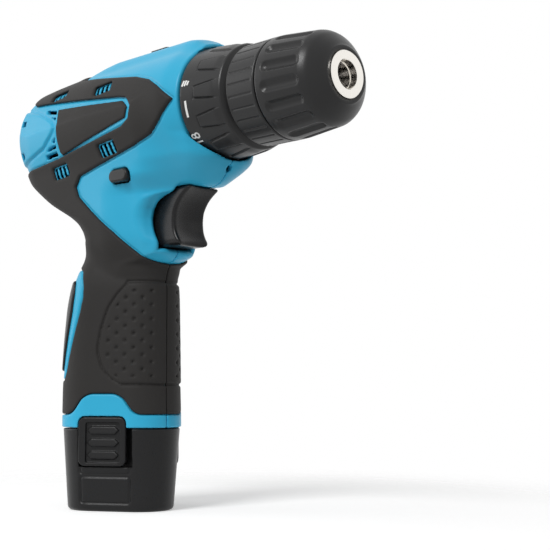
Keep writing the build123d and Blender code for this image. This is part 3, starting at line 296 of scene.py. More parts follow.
def ramp(tree, value, source, target, kind="LINEAR"):
    """Map a socket from one range to another."""
    ends = {"From Min": source[0], "From Max": source[1], "To Min": target[0], "To Max": target[1]}
    node = add_node(tree, "ShaderNodeMapRange", **ends)
    node.interpolation_type = kind
    tree.links.new(value, node.inputs["Value"])
    return node.outputs["Result"]


def mix(tree, factor, a, b):
    """Mix two colours, each a tuple or a socket."""
    node = tree.nodes.new("ShaderNodeMix")
    node.data_type = "RGBA"
    tree.links.new(factor, node.inputs["Factor"])
    for socket, colour in ((node.inputs[MIX_A], a), (node.inputs[MIX_B], b)):
        if isinstance(colour, tuple):
            socket.default_value = (*colour, 1.0)
        else:
            tree.links.new(colour, socket)
    return node.outputs[MIX_RESULT]


def finish(name, colour, rough, grain=0.0006, bump=0.15, metal=0.0, wear=0.12, vary=0.08, coat=0.0, shine=0.5,
           brushed=False):
    """Moulded, soft or turned surface: colour drift, grain bump, roughness drift and paler worn edges."""
    mat = bpy.data.materials.new(name)
    mat.use_nodes = True
    tree = mat.node_tree
    shader = tree.nodes["Principled BSDF"]
    shader.inputs["Metallic"].default_value = metal
    shader.inputs["Coat Weight"].default_value = coat
    shader.inputs["Specular IOR Level"].default_value = shine

    stretch = add_node(tree, "ShaderNodeMapping", Scale=BRUSHED if brushed else PLAIN)
    tree.links.new(tree.nodes.new("ShaderNodeTexCoord").outputs["Object"], stretch.inputs["Vector"])
    drift = add_node(tree, "ShaderNodeTexNoise", Scale=DRIFT_SCALE, Detail=3.0, Roughness=0.55)
    fine = add_node(tree, "ShaderNodeTexNoise", Scale=1.0 / grain, Detail=2.0, Roughness=0.6)
    for noise in (drift, fine):
        tree.links.new(stretch.outputs["Vector"], noise.inputs["Vector"])

    dark = tuple(c * (1 - vary) for c in colour)
    pale = tuple(min(1.0, c * (1 + vary)) for c in colour)
    rubbed = tuple(min(1.0, c * WORN_GAIN + WORN_LIFT) for c in colour)
    edge = tree.nodes.new("ShaderNodeNewGeometry").outputs["Pointiness"]
    worn = ramp(tree, edge, WORN_EDGE, (0.0, wear))
    drifting = mix(tree, drift.outputs["Fac"], dark, pale)
    tree.links.new(mix(tree, worn, drifting, rubbed), shader.inputs["Base Color"])
    roughness = ramp(tree, fine.outputs["Fac"], GRAIN_SPAN, (rough - ROUGH_DRIFT, rough + ROUGH_DRIFT))
    tree.links.new(roughness, shader.inputs["Roughness"])
    relief = add_node(tree, "ShaderNodeBump", Strength=bump, Distance=GRAIN_DEPTH)
    tree.links.new(fine.outputs["Fac"], relief.inputs["Height"])
    tree.links.new(relief.outputs["Normal"], shader.inputs["Normal"])
    return mat


FINISHES = {
    "blue_plastic": dict(colour=(0.034, 0.405, 0.64), rough=0.36, grain=0.0004, bump=0.05, wear=0.20,
                         vary=0.03, shine=0.2),
    "black_plastic": dict(colour=(0.0105, 0.0105, 0.011), rough=0.32, grain=0.0004, bump=0.22, wear=0.08,
                          shine=0.2),
    "trigger_black": dict(colour=(0.008, 0.008, 0.0085), rough=0.26, grain=0.0004, bump=0.05, wear=0.08,
                          shine=0.22),
    "chuck_black": dict(colour=(0.0150, 0.0150, 0.0155), rough=0.34, grain=0.0004, bump=0.12, wear=0.08,
                        shine=0.3),
    "soft_grip": dict(colour=(0.028, 0.0266, 0.0257), rough=0.58, grain=0.0005, bump=0.2, wear=0.05,
                      shine=0.12),
    "case_plastic": dict(colour=(0.03, 0.03, 0.033), rough=0.55, bump=0.2),
    "switch_case": dict(colour=(0.02, 0.02, 0.022), rough=0.5, bump=0.2),
    "steel": dict(colour=(0.50, 0.50, 0.52), rough=0.34, metal=1.0, brushed=True),
    "bright_steel": dict(colour=(0.86, 0.83, 0.78), rough=0.22, metal=1.0, bump=0.04, wear=0.02),
    "copper": dict(colour=(0.60, 0.30, 0.14), rough=0.30, metal=1.0),
    "magnet": dict(colour=(0.06, 0.06, 0.065), rough=0.5, metal=0.6),
    "cell_wrap": dict(colour=(0.03, 0.20, 0.15), rough=0.25, coat=0.3, bump=0.05),
    "board": dict(colour=(0.01, 0.12, 0.04), rough=0.4),
    "lead": dict(colour=(0.30, 0.02, 0.02), rough=0.5),
    "gear_plastic": dict(colour=(0.70, 0.68, 0.60), rough=0.5),
    # The lamp's lens is given a near-black colour so that the hole round it reads dark: painted shade of the
    # recess, not the lens's own colour
    "lamp": dict(colour=(0.02, 0.02, 0.022), rough=0.10, bump=0.02, shine=0.3),
    "mark": dict(colour=(0.80, 0.80, 0.78), rough=0.45, bump=0.1, wear=0.0),
}
look = {name: finish(name, **values) for name, values in FINISHES.items()}
for part in frame["record"]["subparts"]:
    node = frame["nodes"][part["node"]]
    node.data.materials.clear()
    node.data.materials.append(look[part["material_slot"]])

# Housing, grips and panels share one grid over the right half and a little past the middle

VOXEL = 0.5
grid = Grid(low=(REAR - 2.4, -31.0, 34.5), high=(72.0, 1.2, 204.0), step=VOXEL)
X, Y, Z = grid.x, grid.y, grid.z
DROP = AXIS - Z

# Radius of the barrel and of the ridge on its top, by place along the axis
BARREL = ((REAR, 23.4), (-52, 23.9), (-38, 25.0), (-22, 25.8), (0, 26.8), (54, 26.8), (FRONT, 24.6))
RIDGE = ((-27, 21.0), (-20, 24.6), (-14, 27.4), (-6, 29.0), (3, 30.0), (53, 29.8), (58, 28.7), (FRONT, 25.4))
RIDGE_HALF, RIDGE_REAR = 12.5, -36.0

# Back, front and half width of the switch housing, and the keel under its nose, by drop below the axis
BODY_BACK = (
    (7, -54), (22, -53), (34, -36), (43, -17), (50, -12.0), (58, -12.0), (66, -12.4), (72, -12.6), (80, -10),
)
BODY_FRONT = (
    (7, 58), (13, 60), (16, 68.5), (24.2, 70), (27.5, 67.4), (33.6, 62), (34.6, 58), (36.2, 38), (38.5, 33),
    (42, 30.2), (46, 29.2), (50, 29.8), (54, 31.4), (56.5, 33.4), (59, 34.6), (63.4, 33.0), (65.0, 28.5),
    (69, 25.6), (73, 22), (77, 19),
)
BODY_HALF = (
    (7, 22.8), (22, 22.5), (34, 21.5), (43, 21), (51, 19.9), (56, 19.4), (60, 18.0), (63, 17.0), (68, 14.5),
    (74, 9),
)
KEEL = ((22, 0), (27.4, 3.2), (31.2, 6.2), (34.6, 9.0), (42, 9.0))
BODY_LOW, BODY_TOP = 96.0, 168.0
BODY_CORNER, THROAT_CORNER = 12.0, 5.0
NOSE_IN, THROAT_IN = 4.5, 4.0  # How far the sides draw in at the nose and beside the trigger
NOSE_SPARED = 0.85  # Share of the draw-in beside the trigger that the nose is spared
SLOPES = (0.4, 1.5)  # Limits of the slope that the form's field is scaled by

# How far the handle's outline leans forward, and its offset from the cells' triangle, by height
HANDLE_SHIFT = ((36, 0), (54, -0.4), (72, 0), (89, 0.8), (101, 2.2), (112, 3.2))
HANDLE_OFFSET = (
    (36, 16.4), (54, 16.1), (72, 15.5), (89, 14.6), (98, 13.6), (104, 12.0), (109, 9.4), (114, 6.0),
)
HANDLE_TOP = 114.0


def housing_form():
    """Barrel, ridge, switch housing and handle run into each other."""
    radius = np.sqrt(Y**2 + (Z - AXIS) ** 2)
    barrel = rounded(radius - along(X, BARREL, soft=2.0), REAR - X, edge=7.0)
    barrel = rounded(barrel, X - FRONT, edge=1.2)
    ridge = rounded(radius - along(X, RIDGE, soft=1.2), np.abs(Y) - RIDGE_HALF, edge=4.0)
    ridge = common(rounded(ridge, DROP, edge=3.0), X - FRONT, RIDGE_REAR - X)

    back, front = along(DROP, BODY_BACK, soft=2.2), along(DROP, BODY_FRONT, soft=0.8)
    half = along(DROP, BODY_HALF, soft=2.2)
    tighter = (BODY_CORNER - THROAT_CORNER) * smooth(5, 20, X) * smooth(33, 38, DROP)
    corner = BODY_CORNER - tighter * (smooth(66, 60, DROP) - 0.5 * smooth(54, 60, DROP))
    keel = along(DROP, KEEL, soft=1.0) * smooth(26, 46, X)
    draw_in = (NOSE_IN * smooth(34, 52, X) + keel) * smooth(42, 35, DROP)
    beside = (THROAT_IN + smooth(50, 60, DROP)) * smooth(6, 30, X)
    beside = beside * smooth(27, 36, DROP) * smooth(70, 62, DROP)
    draw_in = draw_in + beside * (1 - NOSE_SPARED * smooth(32, 44, X) * smooth(46, 40, DROP))
    past_ends = np.abs(X - (back + front) / 2) - (front - back) / 2
    body = cornered(past_ends, np.abs(Y) - half + draw_in, corner)
    body = common(body, BODY_LOW - Z, Z - BODY_TOP)

    cells = from_cells(X, Y, along(Z, HANDLE_SHIFT, soft=3.0))
    handle = common(cells - along(Z, HANDLE_OFFSET, soft=2.5), RIM_LOW - Z, Z - HANDLE_TOP)
    form = blended(blended(barrel, body, width=7.0), ridge, width=4.0)
    form = blended(form, handle, width=5.0)
    slope = np.sqrt(sum(g * g for g in np.gradient(form, VOXEL)))
    return (form / np.clip(slope, *SLOPES)).astype(np.float32), cells, radius


form, cells, radius = housing_form()


def side(points):
    """Outline on the drill's side, drawn in x and height, for the whole grid."""
    return outline(points, X[:, 0, :], Z[0, :, :])[:, None, :]


grip_edge = side((
    (-49.1, 188.1), (-50, 191.5), (-47, 210), (-20.5, 210), (-19, 197), (-16, 194.6), (4, 191), (34, 185.4),
    (44, 182.2), (51, 178), (60, 171), (52, 163.6), (44.5, 158.8), (33.7, 155.5), (19.2, 152.8), (5.6, 150.2),
    (-6.5, 147.7), (-10.2, 143.2), (-8.3, 138.3), (1.5, 130.2), (13.4, 120.9), (21.8, 113.2), (28.6, 107.2),
    (35, 104.6), (60, 102.6), (60, 41.6), (-60, 41.6), (-60, 150), (-51.7, 154.4), (-19.3, 157.6), (5, 161.0),
    (28, 164.4), (33.2, 167), (34.8, 172), (31.4, 176.2), (26, 177.4), (2.6, 180.4), (-27.6, 184.5),
    (-46.5, 186.8),
))
panel_edge = side((
    (-21.3, 180.2), (28.6, 175.4), (32.4, 172.0), (30.6, 167.6), (-17.6, 158.4), (-19.2, 159.9),
    (-20.1, 164.4), (-20.6, 170), (-20.6, 175.6),
))
stripe_edge = side((
    (-40, 107), (-8.5, 106), (-4.2, 104.2), (-1.6, 97.8), (-1.1, 92.9), (-2.5, 85.4), (-4.9, 77.4),
    (-7.6, 68.4), (-10.4, 59.7), (-12.8, 56.6), (-40, 55.6),
))
back_edge = side((
    (-40, 101.4), (-9.6, 100.8), (-7.9, 99.3), (-6.8, 94.7), (-7.3, 86.5), (-9.1, 79.1), (-11, 71.2),
    (-13.8, 62.8), (-15.6, 60.6), (-40, 59.8),
))
cap_edge = side((
    (-64, 186.5), (-52, 184.5), (-45, 182.7), (-37.5, 180.4), (-30.1, 177.3), (-25, 174.3), (-22.9, 171.9),
    (-24.5, 169.6), (-31.8, 164.1), (-43.1, 160.8), (-50.7, 159.4), (-64, 157),
))
# Small openings beside the rear cap, from the top down, and two in the cap
CAP_OPENINGS = (
    ((-32.5, 181.7), (-23.1, 179.9), (-22.5, 178.1), (-31.3, 179.8)),
    ((-26.3, 177.2), (-22.7, 176.6), (-22.4, 174.8)),
    ((-22.2, 167.4), (-25.2, 165.2), (-22.6, 164.8)),
    ((-28, 163.3), (-22.2, 164.0), (-22.2, 162.3), (-29.8, 161.7)),
    ((-31.2, 160.3), (-22.2, 160.9), (-21.4, 158.9), (-31.2, 158.2)),
    ((-52.6, 179.6), (-48.6, 179.0), (-48.6, 176.6), (-52.6, 176.9)),
    ((-53.4, 164.6), (-49.8, 164.0), (-49.0, 161.8), (-53.4, 160.6)),
)

# Vents: place and height of the middle, then how tall
VENTS = ((-25.0, 187.6, 3.8), (12.2, 183.8, 4.6), (16.0, 156.6, 6.0), (-20.0, 151.3, 5.8))
VENT_LONG, VENT_CORNER = 12.0, 1.2
VENT_LEAN, VENT_RISE = 0.30, 0.09
SLOTS, FIRST_SLOT, SLOT_PITCH = 4, -4.7, 3.12
SLOT_WIDE, SLOT_MARGIN, SLOT_CORNER = 1.9, 0.6, 0.4


def vent_fields():
    """Edges of the vents on the drill's side, and the slots in them."""
    x, z = X[:, 0, :], Z[0, :, :]
    edges, slots = [], []
    for vent_x, vent_z, tall in VENTS:
        lean = x - vent_x + VENT_LEAN * (z - vent_z)
        rise = z - vent_z - VENT_RISE * (x - vent_x)
        edges.append(rectangle(lean, rise, (0, 0), (VENT_LONG, tall), VENT_CORNER))
        for n in range(SLOTS):
            middle = (FIRST_SLOT + SLOT_PITCH * n, 0)
            slots.append(rectangle(lean, rise, middle, (SLOT_WIDE, tall - SLOT_MARGIN), SLOT_CORNER))
    return union(*edges)[:, None, :], union(*slots)[:, None, :]


vent_edge, vent_slot = vent_fields()

# Dimpled pad on each slanted face: its rear edge by height, and its rows of dimples
PAD_EDGE = (
    (54.4, 8.0), (56.2, 2.3), (61.5, -2.6), (69.2, -5.0), (79, -3.4), (88, -0.4), (95, 4.4), (98.5, 8.5),
)
PAD_LOW, PAD_TOP, PAD_RISE = 54.6, 99.2, 0.25
PAD_LINE, PAD_LINE_WIDE = 0.95, 0.6
FACE_HALF, FACE_ROUND = 9.4, 16.5  # Half a flat face, and the radius of the corner that follows it
DIMPLE, DIMPLE_WIDE = 1.15, 0.72
DIMPLE_PITCH, DIMPLE_RISE, FIRST_DIMPLE = 3.9, 6.2, 55.0
DIMPLE_MARGIN, LAST_DIMPLE = 3.2, 21.0
GRIP = 1.2  # Thickness of the soft grip off the housing
PAD_ZONE_TOP, PAD_ZONE_REAR = 104, -16


def skin_thickness():
    """How far the soft grip stands off the housing, with the pad on the handle."""
    turn = np.arctan2(Y, X - CELL_RING)
    past_flat = turn + math.pi / 3
    face = np.where(turn > -math.pi / 3, FACE_HALF + FACE_ROUND * past_flat, X * COS_30 + Y * SIN_30)
    pad = common(along(Z, PAD_EDGE, soft=1.2) - face, PAD_LOW - Z, Z - PAD_TOP)
    column = np.round(face / DIMPLE_PITCH)
    row = (Z - FIRST_DIMPLE - DIMPLE_RISE / 2 * np.abs(column % 2)) / DIMPLE_RISE
    dimple = np.sqrt((face - DIMPLE_PITCH * column) ** 2 + ((row - np.round(row)) * DIMPLE_RISE) ** 2)
    dimple = np.where((pad < -DIMPLE_MARGIN) & (face < LAST_DIMPLE), dimple, FAR)
    on_handle = (Z < PAD_ZONE_TOP) & (X > PAD_ZONE_REAR)
    relief = PAD_LINE * bell(pad, PAD_LINE_WIDE) + DIMPLE * bell(dimple, DIMPLE_WIDE)
    skin = GRIP - np.where(on_handle, relief, 0)
    return (skin + np.where(on_handle & (pad < 0), PAD_RISE, 0)).astype(np.float32)


# Rim round the pack, with a hump over each latch
RIM_TOP, RIM_OFFSET = 41.4, 17.5
HUMP_TOP, HUMP_HALF, HUMP_FACE = 50.4, 8.0, 8.0
HUMP_SPREAD, HUMP_SQUARE = 0.74, 0.8  # Slope of the hump's sides, and the scale that is square to them
NOTCH_Z, NOTCH_TALL = 30.0, 22.0
LATCH_FACE = 11.0  # The latch's cuts start this far out from the cells' triangle
TONGUE_ROOM_TOP, TONGUE_ROOM_OUT = 48.0, 14.9

out, level = slanted(X, Y)
face = out - CELL_RING / 2
hump_side = (np.abs(level) - HUMP_HALF - (HUMP_TOP - Z) * HUMP_SPREAD) * HUMP_SQUARE
hump = common(rounded(Z - HUMP_TOP, hump_side, edge=3.0), HUMP_FACE - face)
rim = rounded(cells - RIM_OFFSET, blended(Z - RIM_TOP, hump, width=3.0), edge=0.6)
rim = common(rim, RIM_LOW - Z)
notch_size = (LATCH_SIZE[0] + 2 * LATCH_GAP, NOTCH_TALL)
notch = rectangle(level, Z, (0, NOTCH_Z), notch_size, LATCH_CORNER + LATCH_GAP)
notch = common(notch, LATCH_FACE - face)
tongue_room = common(np.abs(level) - TONGUE_HALF - LATCH_GAP, Z - TONGUE_ROOM_TOP)
tongue_room = common(tongue_room, LATCH_FACE - face, face - TONGUE_ROOM_OUT)

# Opening for the trigger, with its stem's bore
OPENING_X, OPENING_SIZE, OPENING_CORNER, OPENING_FRONT = 38.0, (36.0, 25.8), 3.0, 55.0
OPENING_WALL, OPENING_BACK = 2.0, 21.5
STEM_FRONT = 21.0

trigger_room = rectangle(X, Z, (OPENING_X, TRIGGER_Z), OPENING_SIZE, OPENING_CORNER)
trigger_room = common(trigger_room, np.abs(Y) - (TRIGGER_HALF + TRIGGER_GAP), X - OPENING_FRONT)
stem_room = common(np.hypot(Y, Z - TRIGGER_Z) - (STEM_RADIUS + STEM_GAP), X - STEM_FRONT)

# Openings for the button, the lamp, the clutch and the speed knob, and those in the vents and the cap
BUTTON_X, BUTTON_Z, BUTTON_SIZE, BUTTON_CORNER = 21.2, 144.4, (13.3, 6.3), 3.1
LAMP_X, LAMP_Z, LAMP_RADIUS = 50.0, 144.6, 1.4
CLUTCH_X, CLUTCH_ROOM = 62.0, 24.5
KNOB_X, KNOB_LONG, KNOB_WIDE, KNOB_FLOOR = 25.0, 8.4, 7.4, 200.4
VENT_DEPTH, CAP_DEPTH = 10.0, 14.0  # Down to this distance from the middle plane

button_hole = rectangle(X, Z, (BUTTON_X, BUTTON_Z), BUTTON_SIZE, BUTTON_CORNER)
lamp_hole = common(np.sqrt(Y**2 + (Z - LAMP_Z) ** 2) - LAMP_RADIUS, LAMP_X - X)
clutch_room = common(radius - CLUTCH_ROOM, CLUTCH_X - X)
knob_slot = common(np.abs(Y) - KNOB_WIDE, np.abs(X - KNOB_X) - KNOB_LONG, KNOB_FLOOR - Z)
vent_slots = common(vent_slot, VENT_DEPTH - np.abs(Y))
cap_openings = common(union(*[side(points) for points in CAP_OPENINGS]), CAP_DEPTH - np.abs(Y))

# Screws: place, then drop below the axis; radii of the post and of the hole, which ends short of the middle
SCREWS = ((-28.0, 32.5), (-7.0, 71.0), (17.0, 68.0), (47.0, 28.5), (-3.5, 31.0))
POST, SCREW_HOLE, SCREW_DEPTH = 3.9, 3.1, 8.0

from_screw = union(*[np.hypot(X - x, Z - AXIS + drop) for x, drop in SCREWS])
screw_holes = common(from_screw - SCREW_HOLE, SCREW_DEPTH - np.abs(Y))

# Hollow of the housing: room for switch and motor, cells and gears, less walls and posts, with thin vents
SWITCH_LOW, CELLS_TOP = 97.0, 94.2
GEAR_X, GEAR_ROOM = 50.0, 20.6
VENT_WALL, VENT_ROOM, VENT_MARGIN = 0.9, 3.0, 1.0

inner = union(common(form + WALL, SWITCH_LOW - Z), common(cells - CELL_ROOM, Z - CELLS_TOP))
inner = union(inner, common(radius - GEAR_ROOM, GEAR_X - X))
inner = common(inner, union(OPENING_WALL - trigger_room, X - OPENING_BACK), POST - from_screw)
inner = union(inner, common(form + VENT_WALL, -(form + VENT_ROOM), vent_edge - VENT_MARGIN))

# The rear cap is a raised arch with a crease round it, and the stripe on the handle stands proud
CAP_RISE, CAP_STEP, CAP_SIDES = 0.7, (0.5, -0.5), (6.0, 10.0)
CREASE, CREASE_WIDE = 0.5, 0.5
STRIPE_RISE, STRIPE_STEP = 1.0, (0.1, -0.6)
# A fine gap runs round the grip and the inlay, and the trigger's opening has a rounded rim
GRIP_GAP, INLAY_GAP, GAP_OFF, GAP_WIDE = 0.5, 0.35, 0.3, 0.4
LIP, LIP_OFF, LIP_WIDE, LIP_END = 0.7, 1.9, 1.3, (38.0, 34.0)

skin_edge = common(grip_edge, -stripe_edge, -vent_edge, -(rim - GAP_OFF))
arch = CAP_RISE * smooth(*CAP_STEP, cap_edge) - CREASE * bell(cap_edge - CAP_RISE, CREASE_WIDE)
swell = smooth(*CAP_SIDES, np.abs(Y)) * arch + STRIPE_RISE * smooth(*STRIPE_STEP, stripe_edge)
swell = swell - GRIP_GAP * bell(skin_edge - GAP_OFF, GAP_WIDE)
swell = swell - INLAY_GAP * bell(panel_edge - GAP_OFF, GAP_WIDE)
swell = swell + LIP * bell(trigger_room - LIP_OFF, LIP_WIDE) * smooth(*LIP_END, X)

cuts = (inner, stem_room, button_hole, lamp_hole, clutch_room, knob_slot, notch, tongue_room, vent_slots,
        cap_openings)
shell = rounded(union(form - swell, rim), -trigger_room, edge=1.5)
shell = common(shell, *(-cut for cut in cuts))

# Soft grip, clear of the button and the trigger, and the inlay on the barrel's side
BUTTON_CLEAR, TRIGGER_CLEAR = 0.6, 0.5
GRIP_HOLE = 0.3  # A screw's hole is this much wider in the grip
INLAY_RISE, INLAY_IN = 0.55, 8

soft = rounded(form - skin_thickness(), skin_edge, edge=0.9)
soft = common(soft, -(form + SINK), -button_hole - BUTTON_CLEAR, -(trigger_room - TRIGGER_CLEAR))
inlay = common(rounded(form - INLAY_RISE, panel_edge, edge=0.6), -(form + SINK), Y + INLAY_IN)

# The halves part by a fine groove at the surface and meet below it
SEAM, SEAM_GROOVE, GROOVE_FLOOR = 0.02, 0.10, (-1.8, -1.0)
seam = Y + SEAM + SEAM_GROOVE * smooth(*GROOVE_FLOOR, form)


def halves(name, field, slot, nodes, extra=None):
    """Mesh the right half of a field and mirror it for the left, with cuts of its own."""
    right = left = grid.mesh(common(field, seam))
    if extra is not None:
        left = grid.mesh(common(field, -extra, seam))
    add_pair(name, right, left, slot, ("housing", "housing"), nodes)


halves("housing", shell, "blue_plastic", ("housing_right", "housing_left"), screw_holes)
halves("grip", soft, "soft_grip", ("grip_right", "grip_left"), screw_holes - GRIP_HOLE)
halves("panel", inlay, "soft_grip", ("side_panel_right", "side_panel_left"))

# Panel on the handle's back, across the seam
BACK_RISE = 2.0
back_panel = common(rounded(form - BACK_RISE, back_edge, edge=1.0), -(form + SINK))
back_panel = back_panel[:, :int(round(-grid.low[1] / VOXEL)) + 1]
back_panel = np.concatenate((back_panel, back_panel[:, -2::-1]), axis=1)
points, quads = grid.mesh(back_panel)
add_mesh("back_panel_look", points, quads, look["black_plastic"], "housing", "black_plastic",
         "handle_back_panel")

# Pack base: a tapered cup with moulded lines and a window for each latch

BASE_TOP, BASE_OFFSET, BASE_FLARE = 35.5, 14.4, 2.5
BASE_WALL, BASE_FLOOR = 2.0, 2.5
BASE_FACE = 6.0  # Lines and windows lie further out than this from the cells' triangle
# Moulded lines: middle, size and corner of each rectangle, along the face and in height
LINES = (((1.0, 9.4), (22.9, 11.2), 1.2), ((0.9, 19.2), (23.1, 6.1), 1.4))
LINE_DEPTH, LINE_WIDE = 0.7, 0.5
WINDOW_AT, WINDOW_HALF, WINDOW_LOW = 1.15, 12.55, 19.1

block = Grid(low=(-24.0, -29.0, -0.8), high=(30.0, 29.0, 36.4), step=0.45)
out, level = slanted(block.x, -np.abs(block.y))
face = out - CELL_RING / 2
wall = from_cells(block.x, block.y, 0.0) - BASE_OFFSET - BASE_FLARE * block.z / BASE_TOP
line = union(*[np.abs(rectangle(level, block.z, *shape)) for shape in LINES])
line = np.where(face > BASE_FACE, line, FAR)
cup = rounded(wall + LINE_DEPTH * bell(line, LINE_WIDE), -block.z, edge=1.8)
cup = rounded(cup, block.z - BASE_TOP, edge=0.4)
window = common(np.abs(level - WINDOW_AT) - WINDOW_HALF, WINDOW_LOW - block.z, BASE_FACE - face)
cup = common(cup, -common(wall + BASE_WALL, BASE_FLOOR - block.z), -window)
points, quads = block.mesh(cup)
add_mesh("base_look", points, quads, look["black_plastic"], "battery", "black_plastic", "battery_base")

# Latches: a plate with three barbs in a dish, and a tongue that goes up inside the housing

LATCH_IN, LATCH_OUT = 19.83, 22.42
DISH_AT, DISH_Z, DISH_SIZE, DISH_FLOOR = 0.4, 29.6, (15.8, 17.4), 21.2
BARB_HEIGHTS, BARB_HALF, BARB_TIP = (34.9, 29.6, 24.3), 1.7, 7.2
BARB_IN, BARB_OUT, BARB_LEAN = 20.5, 22.1, 0.15
TONGUE_Z, TONGUE_TALL, TONGUE_OUT, TONGUE_THICK = 38.5, 17.0, 19.2, 1.4

block = Grid(low=(-6.0, -28.0, 18.4), high=(24.0, -6.0, 48.0), step=0.35)
out, level = slanted(block.x, block.y)
plate = rectangle(level, block.z, (0, LATCH_Z), LATCH_SIZE, LATCH_CORNER)
plate = common(rounded(plate, out - LATCH_OUT, edge=0.7), LATCH_IN - out)
dish = common(rectangle(level, block.z, (DISH_AT, DISH_Z), DISH_SIZE, corner=1.0), DISH_FLOOR - out)
plate = common(plate, -dish)
for height in BARB_HEIGHTS:
    rise = np.abs(block.z - height)
    barb = common(rise - BARB_HALF, (np.abs(level - DISH_AT) + rise - BARB_TIP) * math.sqrt(0.5))
    barb = rounded(barb, out - BARB_OUT + BARB_LEAN * (block.z - height), edge=0.35)
    plate = union(plate, common(barb, BARB_IN - out))
tongue = common(np.abs(block.z - TONGUE_Z) - TONGUE_TALL / 2, np.abs(out - TONGUE_OUT) - TONGUE_THICK / 2)
tongue = common(tongue, np.abs(level) - TONGUE_HALF)
latch = block.mesh(union(plate, tongue))
add_pair("latch", latch, latch, "black_plastic", ("latch_r", "latch_l"), ("latch_right", "latch_left"))

# Trigger: a dished finger piece and the stem behind it

# Place of the front, by height
TRIGGER_FRONT = (
    (113.4, 46.6), (116.5, 43.6), (120, 41.8), (124.5, 41.2), (129, 41.8), (133, 44.4), (136, 48),
    (138.4, 52.6),
)
TRIGGER_LOW, TRIGGER_TOP = 113.5, 138.4
SCOOP_DEPTH, SCOOP_CURVE = 0.6, 0.02  # The front is hollow from side to side
FINGER_X, FINGER_SIZE, FINGER_CORNER = 48.0, (40.0, 24.9), 3.0
STEM_X, STEM_LONG = 21.5, 17.0

block = Grid(low=(11.0, -9.6, 112.4), high=(54.0, 9.6, 139.4), step=0.4)
front = along(block.z, TRIGGER_FRONT, soft=1.0) - SCOOP_DEPTH + SCOOP_CURVE * block.y**2
finger = rounded(block.x - front, np.abs(block.y) - TRIGGER_HALF, edge=1.8)
finger = rounded(finger, block.z - TRIGGER_TOP, edge=1.2)
finger = rounded(finger, TRIGGER_LOW - block.z, edge=3.0)
finger = common(finger, rectangle(block.x, block.z, (FINGER_X, TRIGGER_Z), FINGER_SIZE, FINGER_CORNER))
stem = common(np.hypot(block.y, block.z - TRIGGER_Z) - STEM_RADIUS, np.abs(block.x - STEM_X) - STEM_LONG / 2)
points, quads = block.mesh(union(finger, stem))
add_mesh("trigger_look", points, quads, look["trigger_black"], "trigger", "black_plastic", "trigger")

# Turned pieces: a ring of points for each place along the axis


def bands(starts, following, count):
    """Quads between rings of a number of points, from each ring's first point and the following ring's."""
    j = np.arange(count)[None, :]
    k = (j + 1) % count
    return np.stack((starts + j, following + j, following + k, starts + k), axis=-1).reshape(-1, 4)


def turned(name, places, radius_at, bore, count, body, node):
    """Closed surface round the chuck's axis: its outside by place and angle, then a plain bore."""
    angles = np.linspace(0, 2 * math.pi, count, endpoint=False)
    rows = [(x, radius_at(x, angles)) for x in places] + list(bore)
    rings = [(np.full(count, x), r * np.cos(angles), AXIS + r * np.sin(angles)) for x, r in rows]
    points = np.concatenate([np.stack(ring, axis=1) for ring in rings])
    starts = np.arange(len(rows))[:, None] * count
    quads = bands(starts, np.roll(starts, -1, axis=0), count)
    return add_mesh(name, points, quads, look["chuck_black"], body, "black_plastic", node)


# Chuck sleeve: a barrel with scooped flutes, its rear edge chamfered, and a plain nose
SLEEVE_REAR, SLEEVE_FRONT, SLEEVE_CHAMFER = 102.9, 132.4, 0.6
SLEEVE = (
    (SLEEVE_REAR, 20.9), (107, 20.8), (124.6, 19.0), (127.4, 17.5), (130.4, 14.0), (SLEEVE_FRONT, 10.9),
)
SLEEVE_BORE = (
    (SLEEVE_FRONT, 9.42), (127.2, 9.42), (127.0, 12.7), (112.5, 17.0), (103.3, 17.0), (SLEEVE_REAR, 17.2),
)
FLUTES, FLUTE_X, FLUTE_STRAIGHT = 16, 115.4, 6.9
FLUTE_HALF, FLUTE_DEPTH = 2.4, 1.35


def sleeve_radius(x, angles):
    """Sleeve's radius at a place, with the flutes' ends scooped round."""
    base = along(x, SLEEVE, soft=0.7)
    base = base - np.interp(x, (SLEEVE_REAR, SLEEVE_REAR + SLEEVE_CHAMFER), (SLEEVE_CHAMFER, 0.0))
    beyond = max(abs(x - FLUTE_X) - FLUTE_STRAIGHT, 0.0)
    off = (np.mod(angles * FLUTES / (2 * math.pi), 1.0) - 0.5) * 2 * math.pi / FLUTES * base
    return base - FLUTE_DEPTH * np.maximum(0.0, 1.0 - (off**2 + beyond**2) / FLUTE_HALF**2)


places = np.concatenate((
    [SLEEVE_REAR, 103.1, 103.5], np.linspace(104, 126, 67), np.linspace(126.3, SLEEVE_FRONT, 26),
))
turned("sleeve_look", places, sleeve_radius, SLEEVE_BORE, count=384, body="sleeve", node="chuck_sleeve")

# Collar behind the sleeve, with fine grooves between chamfered edges
COLLAR_REAR, COLLAR_FRONT = 86.9, 102.5
COLLAR_RADIUS, COLLAR_CHAMFER = 20.9, 0.5
COLLAR_BORE = (
    (COLLAR_FRONT, 17.5), (91.5, 17.5), (91.5, 12.4), (88.0, 12.4), (88.0, 17.5), (COLLAR_REAR, 17.5),
)
GROOVES, GROOVE_DEPTH = 26, 0.35


def collar_radius(x, angles):
    """Collar's radius at a place."""
    depth = GROOVE_DEPTH * smooth(87.9, 88.7, x) * (1 - smooth(100.6, 101.4, x))
    groove = depth * smooth(0.93, 1.0, 0.5 + 0.5 * np.cos(GROOVES * angles))
    rear = COLLAR_CHAMFER * (1 - smooth(COLLAR_REAR, COLLAR_REAR + COLLAR_CHAMFER, x))
    front = COLLAR_CHAMFER * smooth(COLLAR_FRONT - COLLAR_CHAMFER, COLLAR_FRONT, x)
    return COLLAR_RADIUS - rear - front - groove


places = np.concatenate((
    np.linspace(COLLAR_REAR, 88.9, 9), np.linspace(89.4, 100.4, 12), np.linspace(100.6, COLLAR_FRONT, 9),
))
turned("rear_ring_look", places, collar_radius, COLLAR_BORE, count=520, body="chuck", node="chuck_rear_ring")

